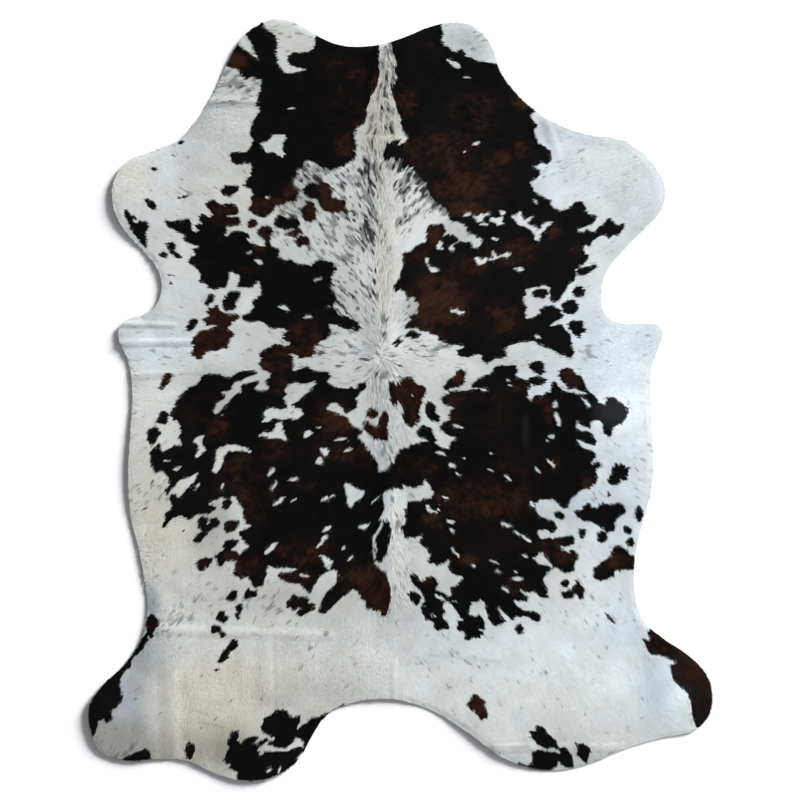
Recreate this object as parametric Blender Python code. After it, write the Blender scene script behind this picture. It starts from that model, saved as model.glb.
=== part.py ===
"""Cowhide rug: one tanned hide with its hair on, lying flat, hair side up.

Metres, +Z up. The head end points along +Y, the tail end along -Y, and the origin is on the floor under the
middle of the hide's box. The underside rests at Z = 0 and lifts a little along some stretches of the rim.
"""
import math

import bmesh
import bpy
from mathutils import Vector
from mathutils.geometry import delaunay_2d_cdt

MM = 0.001

# Driving sizes
LEATHER_THICKNESS = 2.4 * MM
COAT_HEIGHT = 3.0 * MM            # short hair lying flat
SPINE_COAT_RISE = 3.2 * MM        # longer hair along the back stands this much higher
SPINE_COAT_HALF_WIDTH = 62 * MM
COAT_UNEVENNESS = 0.45 * MM
COAT_WAVE_LENGTH = 310 * MM

RIM_STEP = 21 * MM                # spacing of the points along the rim
RIM_SHOULDER = 14 * MM            # how far in from the rim the coat reaches its full height
RIM_COAT_SHARE = 0.45             # share of the coat's height that is left at the very rim
CURVE_STEPS = 10                  # straight steps between two outline points before they are evened out
SKIN_GRID = 46 * MM               # spacing of the points inside the hide
CREASE_STEP = 40 * MM

COAT_COLOUR = (0.62, 0.62, 0.60, 1.0)
COAT_ROUGHNESS = 0.62

# The outline, clockwise from the left of the neck as seen from above, by the part of the animal it was.
# Each row is one outline point: (x, y) in millimetres from the middle of the hide.
OUTLINE_MM = {
    "left of the neck": (
        (-524, 1004), (-485, 1074), (-437, 1119), (-374, 1143), (-305, 1128), (-242, 1089)),
    "nape": (
        (-180, 1065), (-119, 1061), (-55, 1069), (14, 1091), (88, 1121)),
    "right of the neck": (
        (155, 1132), (215, 1120), (257, 1084), (280, 1042), (299, 985), (344, 922), (410, 862)),
    "right foreleg": (
        (491, 817), (569, 795), (638, 786), (707, 755), (764, 697), (794, 629), (779, 562), (728, 508),
        (662, 439), (614, 373)),
    "right flank": (
        (602, 307), (617, 251), (655, 232), (733, 229), (773, 223), (788, 197), (776, 158), (752, 89),
        (751, 0), (758, -151), (756, -247), (737, -337), (713, -421), (701, -517), (707, -601)),
    "right hind leg": (
        (731, -662), (785, -712), (860, -762), (911, -814), (935, -886), (923, -952), (881, -994), (779, -1018)),
    "right of the tail": (
        (674, -1049), (563, -1095), (449, -1115), (359, -1099), (284, -1063), (203, -1003), (113, -946)),
    "tail notch": (
        (23, -910), (-67, -900), (-157, -915), (-220, -949)),
    "left of the tail": (
        (-262, -1009), (-304, -1081), (-376, -1131), (-460, -1145), (-556, -1124), (-644, -1085), (-722, -1080)),
    "left hind leg": (
        (-835, -1084), (-902, -1057), (-932, -991), (-935, -920), (-905, -866), (-824, -785), (-779, -715)),
    "left flank": (
        (-761, -637), (-768, -556), (-788, -451), (-813, -343), (-819, -256), (-812, -91), (-807, 23),
        (-819, 113), (-846, 179), (-847, 217), (-817, 242), (-755, 263), (-723, 308), (-722, 367)),
    "left foreleg": (
        (-755, 424), (-809, 481), (-850, 539), (-867, 602), (-858, 664), (-821, 714), (-746, 745), (-671, 777),
        (-620, 828), (-575, 898)),
}

# The line of the back, from nape to tail: (x, y, share of the long coat's rise there)
SPINE_MM = (
    (-58, 1069, 0.3), (-54, 900, 0.8), (-66, 600, 1.0), (-58, 300, 1.0), (-45, 0, 1.0), (-42, -240, 0.9),
    (-20, -600, 0.6), (-20, -760, 0.0))

# Creases left by folding the hide for transport: (name, start x, y, end x, y, rise, half width), millimetres
CREASES_MM = (
    ("neck fold", -592, 890, -432, 893, 2.6, 20),
    ("flank fold", -842, 168, -600, 171, 2.8, 16),
    ("upper flank fold", -838, 226, -680, 222, 1.8, 14),
    ("lower flank fold", -800, 72, -680, 74, 1.2, 18),
    ("belly fold", -752, -690, -215, -708, 2.4, 22),
    ("left leg press line", -700, -1070, -708, -780, 1.8, 26),
    ("left rump press line", -410, -1040, -405, -690, 1.2, 34),
    ("right rump fold", 285, -1046, 660, -1044, 2.2, 18),
    ("rump press line", -18, -905, -20, -790, 1.4, 14),
    ("right shoulder wrinkle", 440, 838, 478, 720, 1.6, 18),
)

# Stretches of the rim that curl up off the floor: (name, centre x, y, reach, height), millimetres
RIM_LIFTS_MM = (
    ("left foreleg", -880, 610, 250, 9.0),
    ("left elbow", -745, 330, 150, 4.0),
    ("left flank corner", -865, 205, 170, 7.0),
    ("left flank", -835, -180, 300, 7.5),
    ("left hind leg", -955, -930, 260, 10.0),
    ("left heel", -800, -1105, 180, 5.0),
    ("left of the tail", -450, -1165, 230, 6.5),
    ("tail notch", -70, -880, 170, 5.0),
    ("right of the tail", 250, -1050, 220, 6.0),
    ("right hind leg", 950, -900, 200, 5.5),
    ("right flank", 775, -200, 220, 3.0),
    ("right flank corner", 800, 210, 130, 3.5),
    ("right foreleg", 812, 640, 210, 5.0),
    ("right of the neck", 270, 1120, 180, 3.5),
    ("left of the neck", -470, 1110, 210, 6.0),
)


def in_metres(point):
    return Vector((point[0] * MM, point[1] * MM))


def soft_hump(distance, reach):
    """1 in the middle, exactly 0 from the reach outwards, smooth between."""
    inside = max(0.0, 1.0 - (distance / reach) ** 2)
    return inside * inside


def distance_to_line(point, start, end):
    """Distance to a straight stretch, and how far along it the nearest point lies, from 0 to 1."""
    run = end - start
    along = max(0.0, min(1.0, (point - start).dot(run) / run.length_squared))
    return (point - start - run * along).length, along


def rim_lift(point):
    lift = 0.0
    for _name, x, y, reach, height in RIM_LIFTS_MM:
        lift = max(lift, height * MM * soft_hump((point - in_metres((x, y))).length, reach * MM))
    return lift


def crease_rise(point):
    rise = 0.0
    for _name, x0, y0, x1, y1, height, half_width in CREASES_MM:
        distance, along = distance_to_line(point, in_metres((x0, y0)), in_metres((x1, y1)))
        fade = 1.0 - 0.35 * along
        rise = max(rise, height * MM * fade * soft_hump(distance, half_width * MM))
    return rise


def spine_rise(point):
    best = 0.0
    for (x0, y0, share0), (x1, y1, share1) in zip(SPINE_MM, SPINE_MM[1:]):
        distance, along = distance_to_line(point, in_metres((x0, y0)), in_metres((x1, y1)))
        share = share0 + (share1 - share0) * along
        best = max(best, share * soft_hump(distance, SPINE_COAT_HALF_WIDTH))
    return best * SPINE_COAT_RISE


def coat_unevenness(point):
    turn = 2 * math.pi / COAT_WAVE_LENGTH
    return COAT_UNEVENNESS * math.sin(turn * point.x + 1.7 * math.sin(turn * point.y)) * math.cos(turn * point.y)


def rim_distance(point, rim):
    return min(distance_to_line(point, rim[i - 1], rim[i])[0] for i in range(len(rim)))


def outline_points():
    """The rim as evenly spaced points on one smooth closed curve through the outline's points."""
    curve = bpy.data.curves.new("rim guide", 'CURVE')
    curve.dimensions = '2D'
    curve.fill_mode = 'NONE'
    curve.resolution_u = CURVE_STEPS
    corners = [in_metres(row) for rows in OUTLINE_MM.values() for row in rows]
    spline = curve.splines.new('BEZIER')
    spline.bezier_points.add(len(corners) - 1)
    for bezier_point, corner in zip(spline.bezier_points, corners):
        bezier_point.co = corner.to_3d()
        bezier_point.handle_left_type = bezier_point.handle_right_type = 'AUTO'
    spline.use_cyclic_u = True

    guide = bpy.data.objects.new("rim guide", curve)
    bpy.context.scene.collection.objects.link(guide)
    evaluated = guide.evaluated_get(bpy.context.evaluated_depsgraph_get())
    guide_mesh = bpy.data.meshes.new_from_object(evaluated)
    path = [vertex.co.to_2d() for vertex in guide_mesh.vertices]
    bpy.data.objects.remove(guide)
    bpy.data.meshes.remove(guide_mesh)
    rim = evenly_spaced(path, RIM_STEP)
    middle = Vector((
        (min(p.x for p in rim) + max(p.x for p in rim)) / 2,
        (min(p.y for p in rim) + max(p.y for p in rim)) / 2))
    return [point - middle for point in rim]


def evenly_spaced(path, step):
    lengths = [(path[i] - path[i - 1]).length for i in range(len(path))]
    count = round(sum(lengths) / step)
    step = sum(lengths) / count
    points = []
    travelled, target = 0.0, 0.0
    for i, length in enumerate(lengths):
        while target < travelled + length and len(points) < count:
            points.append(path[i - 1].lerp(path[i], (target - travelled) / length))
            target += step
        travelled += length
    return points


def shoulder_points(rim):
    """A second line just inside the rim, where the coat reaches its full height."""
    points = []
    for i, point in enumerate(rim):
        run = rim[(i + 1) % len(rim)] - rim[i - 1]
        inwards = Vector((run.y, -run.x)).normalized()
        points.append(point + inwards * RIM_SHOULDER)
    return [point for point in points[::2] if rim_distance(point, rim) > 0.85 * RIM_SHOULDER]


def crease_points(rim):
    """Points along the top and both feet of every crease, so the skin bends there."""
    points = []
    for _name, x0, y0, x1, y1, _height, half_width in CREASES_MM:
        start, end = in_metres((x0, y0)), in_metres((x1, y1))
        run = end - start
        side = Vector((run.y, -run.x)).normalized() * half_width * MM
        steps = max(2, round(run.length / CREASE_STEP))
        for step in range(steps + 1):
            for shift in (-1.0, 0.0, 1.0):
                points.append(start + run * step / steps + side * shift)
    return points


def grid_points(rim):
    """An even triangular grid over the hide's box."""
    row_step = SKIN_GRID * math.sqrt(0.75)
    half_columns = math.ceil(max(point.x for point in rim) / SKIN_GRID)
    half_rows = math.ceil(max(point.y for point in rim) / row_step)
    for row in range(-half_rows, half_rows + 1):
        shift = 0.25 if row % 2 else -0.25
        for column in range(-half_columns, half_columns + 1):
            yield Vector(((column + shift) * SKIN_GRID, row * row_step))


def spread_out(candidates, placed, rim, gap, rim_gap):
    """Adds the candidates that keep their distance from the points placed so far and from the rim."""
    for point in candidates:
        if not point_inside(point, rim) or rim_distance(point, rim) < rim_gap:
            continue
        if all((point - other).length > gap for other in placed):
            placed.append(point)


def point_inside(point, rim):
    inside = False
    for i in range(len(rim)):
        a, b = rim[i - 1], rim[i]
        if (a.y > point.y) != (b.y > point.y):
            if point.x < a.x + (point.y - a.y) / (b.y - a.y) * (b.x - a.x):
                inside = not inside
    return inside


def skin_mesh():
    """The skin as a triangulated sheet at its underside, then raised to the top of its coat."""
    rim = outline_points()
    inner = []
    spread_out(shoulder_points(rim), inner, rim, 0.6 * RIM_SHOULDER, 0.85 * RIM_SHOULDER)
    spread_out(crease_points(rim), inner, rim, 0.45 * RIM_SHOULDER, 1.3 * RIM_SHOULDER)
    spread_out(grid_points(rim), inner, rim, 0.55 * SKIN_GRID, 2.1 * RIM_SHOULDER)

    outline_face = [list(range(len(rim)))]
    inside_only = 1
    points, _edges, triangles, *_origins = delaunay_2d_cdt(rim + inner, [], outline_face, inside_only, 1e-7)

    sheet = bmesh.new()
    rim_count = len(rim)
    for point in points:
        floor_gap = rim_lift(point) + crease_rise(point)
        sheet.verts.new((point.x, point.y, floor_gap))
    sheet.verts.ensure_lookup_table()
    for triangle in triangles:
        sheet.faces.new([sheet.verts[i] for i in triangle])
    bmesh.ops.recalc_face_normals(sheet, faces=sheet.faces)
    if sum(face.normal.z for face in sheet.faces) > 0:
        bmesh.ops.reverse_faces(sheet, faces=sheet.faces)

    rim_spots = {(round(p.x, 6), round(p.y, 6)) for p in points[:rim_count]}
    raised = bmesh.ops.extrude_face_region(sheet, geom=sheet.faces[:], use_keep_orig=True)
    for vertex in (item for item in raised["geom"] if isinstance(item, bmesh.types.BMVert)):
        point = vertex.co.to_2d()
        if (round(point.x, 6), round(point.y, 6)) in rim_spots:
            coat = COAT_HEIGHT * RIM_COAT_SHARE
        else:
            coat = COAT_HEIGHT + spine_rise(point) + coat_unevenness(point)
        vertex.co.z += LEATHER_THICKNESS + coat
    bmesh.ops.recalc_face_normals(sheet, faces=sheet.faces)

    mesh = bpy.data.meshes.new("hide")
    sheet.to_mesh(mesh)
    sheet.free()
    mesh.shade_smooth()
    mesh.set_sharp_from_angle(angle=math.radians(40))
    return mesh


def coat_material():
    material = bpy.data.materials.new("hair coat")
    material.use_nodes = True
    shader = material.node_tree.nodes["Principled BSDF"]
    shader.inputs["Base Color"].default_value = COAT_COLOUR
    shader.inputs["Roughness"].default_value = COAT_ROUGHNESS
    shader.inputs["Metallic"].default_value = 0.0
    return material


def main():
    for old in list(bpy.data.objects):
        bpy.data.objects.remove(old)
    collection = bpy.data.collections.new("cowhide rug")
    bpy.context.scene.collection.children.link(collection)
    hide = bpy.data.objects.new("hide", skin_mesh())
    hide.data.materials.append(coat_material())
    collection.objects.link(hide)


main()
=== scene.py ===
import math
import bmesh
import bpy
import numpy as np
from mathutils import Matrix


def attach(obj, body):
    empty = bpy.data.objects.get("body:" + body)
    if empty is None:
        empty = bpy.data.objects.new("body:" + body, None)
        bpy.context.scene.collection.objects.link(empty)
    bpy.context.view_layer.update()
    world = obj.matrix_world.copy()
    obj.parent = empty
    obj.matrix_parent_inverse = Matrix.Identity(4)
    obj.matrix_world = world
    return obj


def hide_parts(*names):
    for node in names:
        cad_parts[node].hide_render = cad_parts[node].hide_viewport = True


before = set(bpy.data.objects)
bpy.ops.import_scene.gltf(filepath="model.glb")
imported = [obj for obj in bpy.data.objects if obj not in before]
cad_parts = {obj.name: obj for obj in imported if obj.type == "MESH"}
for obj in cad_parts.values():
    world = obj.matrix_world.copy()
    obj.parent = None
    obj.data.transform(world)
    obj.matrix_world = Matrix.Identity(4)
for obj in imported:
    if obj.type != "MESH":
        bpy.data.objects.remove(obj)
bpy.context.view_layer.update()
mm = 0.001
print("stage: frame loaded")

# The hide lies flat, head end towards +Y, flesh side down. Its markings are charted on squares
# of 3 mm, columns counted to the right and rows down, with the middle of the hide at the square given here.
chart = {
    "square": 3 * mm,
    "middle": (400.5, 399.5),
    "finest": 1.5 * mm,      # cell of the fields that the chart is drawn into
    "size": (2.1, 2.5),      # metres that the fields cover
    "ovalPoints": 14,
    # a tuft is a lens with pointed ends: shares of its length and its width, point by point
    "tuftAlong": (-0.5, -0.25, 0.1, 0.35, 0.5, 0.3, 0.0, -0.3),
    "tuftAside": (0.0, 0.42, 0.5, 0.3, 0.0, -0.34, -0.5, -0.36),
}


def place(columns, rows):
    return ((np.asarray(columns, float) - chart["middle"][0]) * chart["square"],
            (chart["middle"][1] - np.asarray(rows, float)) * chart["square"])


def rowsOf(text):
    # rows of numbers, parted by spaces, as lists
    return [[float(number) for number in row.split(",")] for row in text.split()]


def outlineOf(text):
    return np.column_stack(place(*zip(*rowsOf(text))))


def ovalOf(column, row, halfWide, halfHigh):
    turn = np.linspace(0, 2 * math.pi, chart["ovalPoints"], endpoint=False)
    return np.column_stack(place(column + halfWide * np.cos(turn), row + halfHigh * np.sin(turn)))


def tuftOf(column, row, length, width, degrees):
    # turned anticlockwise from pointing right
    along = np.array(chart["tuftAlong"]) * length
    aside = np.array(chart["tuftAside"]) * width
    cosine, sine = math.cos(math.radians(degrees)), math.sin(math.radians(degrees))
    return np.column_stack(place(column + along * cosine - aside * sine, row - along * sine - aside * cosine))


def emptyField():
    cell = chart["finest"]
    return np.zeros((int(chart["size"][1] / cell), int(chart["size"][0] / cell)), np.float32)


def inCells(x, y):
    cell = chart["finest"]
    return (x + chart["size"][0] / 2) / cell, (y + chart["size"][1] / 2) / cell


def fillShape(field, outline, value):
    # fills row by row between the crossings of the outline
    across, up = inCells(outline[:, 0], outline[:, 1])
    nextAcross, nextUp = np.roll(across, -1), np.roll(up, -1)
    for row in range(max(int(up.min()), 0), min(int(up.max()) + 2, field.shape[0])):
        level = row + 0.5
        cut = (up <= level) != (nextUp <= level)
        run = (level - up[cut]) / (nextUp[cut] - up[cut])
        crossings = np.sort(across[cut] + run * (nextAcross[cut] - across[cut]))
        for start, stop in zip(crossings[::2], crossings[1::2]):
            field[row, max(int(round(start)), 0):max(int(round(stop)), 0)] = value


def lookUp(field, x, y):
    column, row = inCells(x, y)
    row = np.clip(row.astype(int), 0, field.shape[0] - 1)
    column = np.clip(column.astype(int), 0, field.shape[1] - 1)
    return field[row, column]


def smooth(low, high, value):
    share = np.clip((value - low) / (high - low), 0, 1)
    return share * share * (3 - 2 * share)


noise = {
    "cells": 256,                  # the noise repeats after so many cells
    "shift": (4096.37, 4096.73),   # keeps the numbers of the cells above 0
    "streakSteps": 9,
    "streakGain": 2.4,             # makes up for what the mean over the steps takes away
}
noiseTables = {}


def valueNoise(x, y, size, seed):
    # soft noise from -1 to 1
    cells = noise["cells"]
    if seed not in noiseTables:
        table = np.random.default_rng(seed).random((cells, cells))
        noiseTables[seed] = table.astype(np.float32) * 2 - 1
    table = noiseTables[seed]
    across, up = x / size + noise["shift"][0], y / size + noise["shift"][1]
    column, row = np.floor(across).astype(int), np.floor(up).astype(int)
    shareAcross, shareUp = smooth(0, 1, across - column), smooth(0, 1, up - row)
    column, row, nextColumn, nextRow = column % cells, row % cells, (column + 1) % cells, (row + 1) % cells
    lower = table[row, column] * (1 - shareAcross) + table[row, nextColumn] * shareAcross
    upper = table[nextRow, column] * (1 - shareAcross) + table[nextRow, nextColumn] * shareAcross
    return lower * (1 - shareUp) + upper * shareUp


def streaks(x, y, alongX, alongY, width, length, seed):
    # noise drawn out along the hair, about -1 to 1
    steps = np.linspace(-0.5, 0.5, noise["streakSteps"]) * length
    total = sum(valueNoise(x + alongX * step, y + alongY * step, width, seed) for step in steps)
    return total / len(steps) * noise["streakGain"]


# Relief of the hide: lifts at the rim, creases, longer hair along the back.
relief = {
    "leather": 2.4 * mm,
    "underHair": 1.5 * mm,       # dense short hair under the guard hair
    "underHairShare": 0.55,      # how far the under hair follows the rise along the back
    "rimUnderHair": 0.3 * mm,
    "rimShoulder": 16 * mm,
    "spineRise": 2.6 * mm,
    "spineHalfWidth": 62 * mm,
    "unevenness": 0.45 * mm,
    "waveLength": 310 * mm,
    "waveBend": 1.7,
    "creaseFade": 0.35,          # share of its height that a crease has lost at its end
    # mm from the middle of the hide: x, y, share of the rise
    "spine": ((-58, 1069, 0.3), (-54, 900, 0.8), (-66, 600, 1.0), (-58, 300, 1.0), (-45, 0, 1.0),
              (-42, -240, 0.9), (-20, -600, 0.6), (-20, -760, 0.0)),
    # mm: x and y of the start, x and y of the end, rise, half width
    "creases": {
        "neck fold": (-592, 890, -432, 893, 2.0, 20),
        "flank fold": (-842, 168, -600, 171, 2.2, 16),
        "upper flank fold": (-838, 226, -680, 222, 1.8, 14),
        "lower flank fold": (-800, 72, -680, 74, 1.2, 18),
        "belly fold": (-752, -690, -215, -708, 1.4, 22),
        "left leg press line": (-700, -1070, -708, -780, 0.6, 26),
        "left rump press line": (-410, -1040, -405, -690, 0.8, 34),
        "right rump fold": (285, -1046, 660, -1044, 1.2, 18),
        "rump press line": (-18, -905, -20, -790, 0.7, 16),
        "right shoulder wrinkle": (440, 838, 478, 720, 0.9, 18),
    },
    # mm: x, y, reach, height
    "rimLifts": {
        "left foreleg": (-880, 610, 250, 9),
        "left elbow": (-745, 330, 190, 5.5),
        "left flank corner": (-865, 205, 170, 7),
        "left flank": (-835, -180, 300, 7.5),
        "upper left flank": (-830, 20, 170, 4.5),
        "left belly": (-800, -480, 230, 3.5),
        "left thigh": (-770, -690, 200, 3.5),
        "left hind leg": (-955, -930, 260, 10),
        "left heel": (-800, -1105, 180, 5),
        "left of the heel": (-620, -1100, 150, 4),
        "left of the tail": (-450, -1165, 230, 6.5),
        "tail notch": (-70, -880, 170, 5),
        "right of the tail": (250, -1050, 220, 6),
        "right hind leg": (950, -900, 200, 5.5),
        "right flank": (775, -200, 220, 3),
        "right flank corner": (800, 210, 130, 3.5),
        "right foreleg": (812, 640, 210, 5),
        "right of the neck": (270, 1120, 180, 3.5),
        "left of the neck": (-470, 1110, 210, 6),
    },
}


def softHump(distance, reach):
    inside = np.clip(1 - (distance / reach) ** 2, 0, None)
    return inside * inside


def toLine(x, y, x0, y0, x1, y1):
    # distance to a straight line, and how far along it the nearest place is, from 0 to 1
    runX, runY = x1 - x0, y1 - y0
    along = np.clip(((x - x0) * runX + (y - y0) * runY) / (runX ** 2 + runY ** 2), 0, 1)
    return np.hypot(x - x0 - runX * along, y - y0 - runY * along), along


def underside(x, y):
    lift = np.zeros_like(x)
    for middleX, middleY, reach, height in relief["rimLifts"].values():
        distance = np.hypot(x - middleX * mm, y - middleY * mm)
        lift = np.maximum(lift, height * mm * softHump(distance, reach * mm))
    rise = np.zeros_like(x)
    for x0, y0, x1, y1, height, halfWidth in relief["creases"].values():
        distance, along = toLine(x, y, x0 * mm, y0 * mm, x1 * mm, y1 * mm)
        faded = height * mm * (1 - relief["creaseFade"] * along)
        rise = np.maximum(rise, faded * softHump(distance, halfWidth * mm))
    return lift + rise


def hairRise(x, y):
    best = np.zeros_like(x)
    for (x0, y0, share0), (x1, y1, share1) in zip(relief["spine"], relief["spine"][1:]):
        distance, along = toLine(x, y, x0 * mm, y0 * mm, x1 * mm, y1 * mm)
        share = share0 + (share1 - share0) * along
        best = np.maximum(best, share * softHump(distance, relief["spineHalfWidth"]))
    turn = 2 * math.pi / relief["waveLength"]
    wave = np.sin(turn * x + relief["waveBend"] * np.sin(turn * y)) * np.cos(turn * y)
    return best * relief["spineRise"] + relief["unevenness"] * wave


def topHeight(x, y, rimShare):
    # leather with its under hair, which is thin at the rim (share 0) and full inside it (share 1)
    full = relief["underHair"] + relief["underHairShare"] * hairRise(x, y)
    return relief["leather"] + relief["rimUnderHair"] + (full - relief["rimUnderHair"]) * rimShare


# How the hair lies: out from the back, up over the shoulders, down over the rump.
flow = {
    # row of the chart, degrees above straight outwards, share of the way up along the back itself
    "turns": ((0, 4, -1), (60, -8, -1), (125, -10, -0.9), (152, 40, 0.9), (200, 46, 1), (255, 44, 1),
              (305, 36, 0.9), (345, 10, 0.3), (372, -6, -0.4), (400, -24, -1), (470, -40, -1),
              (560, -46, -1), (650, -52, -1), (790, -62, -1)),
    "spineHalfWidth": 12 * mm,     # hair points along the back this near to it
    "spineFade": 110 * mm,
    "levelsOut": (120 * mm, 620 * mm),
    "levelling": 0.6,              # share of an upward turn that is gone far out
    "waver": 13,                   # degrees
    "broadWaver": (75 * mm, 3),    # width of the noise, seed
    "fineWaver": (26 * mm, 4),
    "fineWaverShare": 0.6,
    "spineStray": 0.30,            # how far the hair on the spine leans away from it
    "sideChange": 30 * mm,         # from the spine to where the stray is full on each side
    "strayNoise": (30 * mm, 5),
    "strayNoiseShare": 1.3,
    "leastLength": 1e-6,           # keeps a direction from being divided by 0
}


def hairDirection(x, y):
    spineX, spineY, _ = zip(*relief["spine"][::-1])
    away = x - np.interp(y, np.array(spineY) * mm, np.array(spineX) * mm)
    side = np.where(away >= 0, 1.0, -1.0)
    rows, degrees, shares = zip(*flow["turns"][::-1])
    rowsY = place(0, rows)[1]
    turn = np.interp(y, rowsY, degrees)
    upBack = np.interp(y, rowsY, shares)
    levelled = 1 - flow["levelling"] * smooth(*flow["levelsOut"], np.abs(away))
    waver = valueNoise(x, y, *flow["broadWaver"])
    waver = waver + flow["fineWaverShare"] * valueNoise(x, y, *flow["fineWaver"])
    turn = turn * np.where(turn > 0, levelled, 1) + flow["waver"] * waver
    outX, outY = side * np.cos(np.radians(turn)), np.sin(np.radians(turn))
    out = smooth(flow["spineHalfWidth"], flow["spineFade"], np.abs(away))
    sideShare = smooth(-flow["sideChange"], flow["sideChange"], away) * 2 - 1
    stray = flow["spineStray"] * (sideShare + flow["strayNoiseShare"] * valueNoise(x, y, *flow["strayNoise"]))
    dirX, dirY = out * outX + (1 - out) * stray, out * outY + (1 - out) * upBack
    length = np.hypot(dirX, dirY) + flow["leastLength"]
    return dirX / length, dirY / length, np.abs(away)
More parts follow.
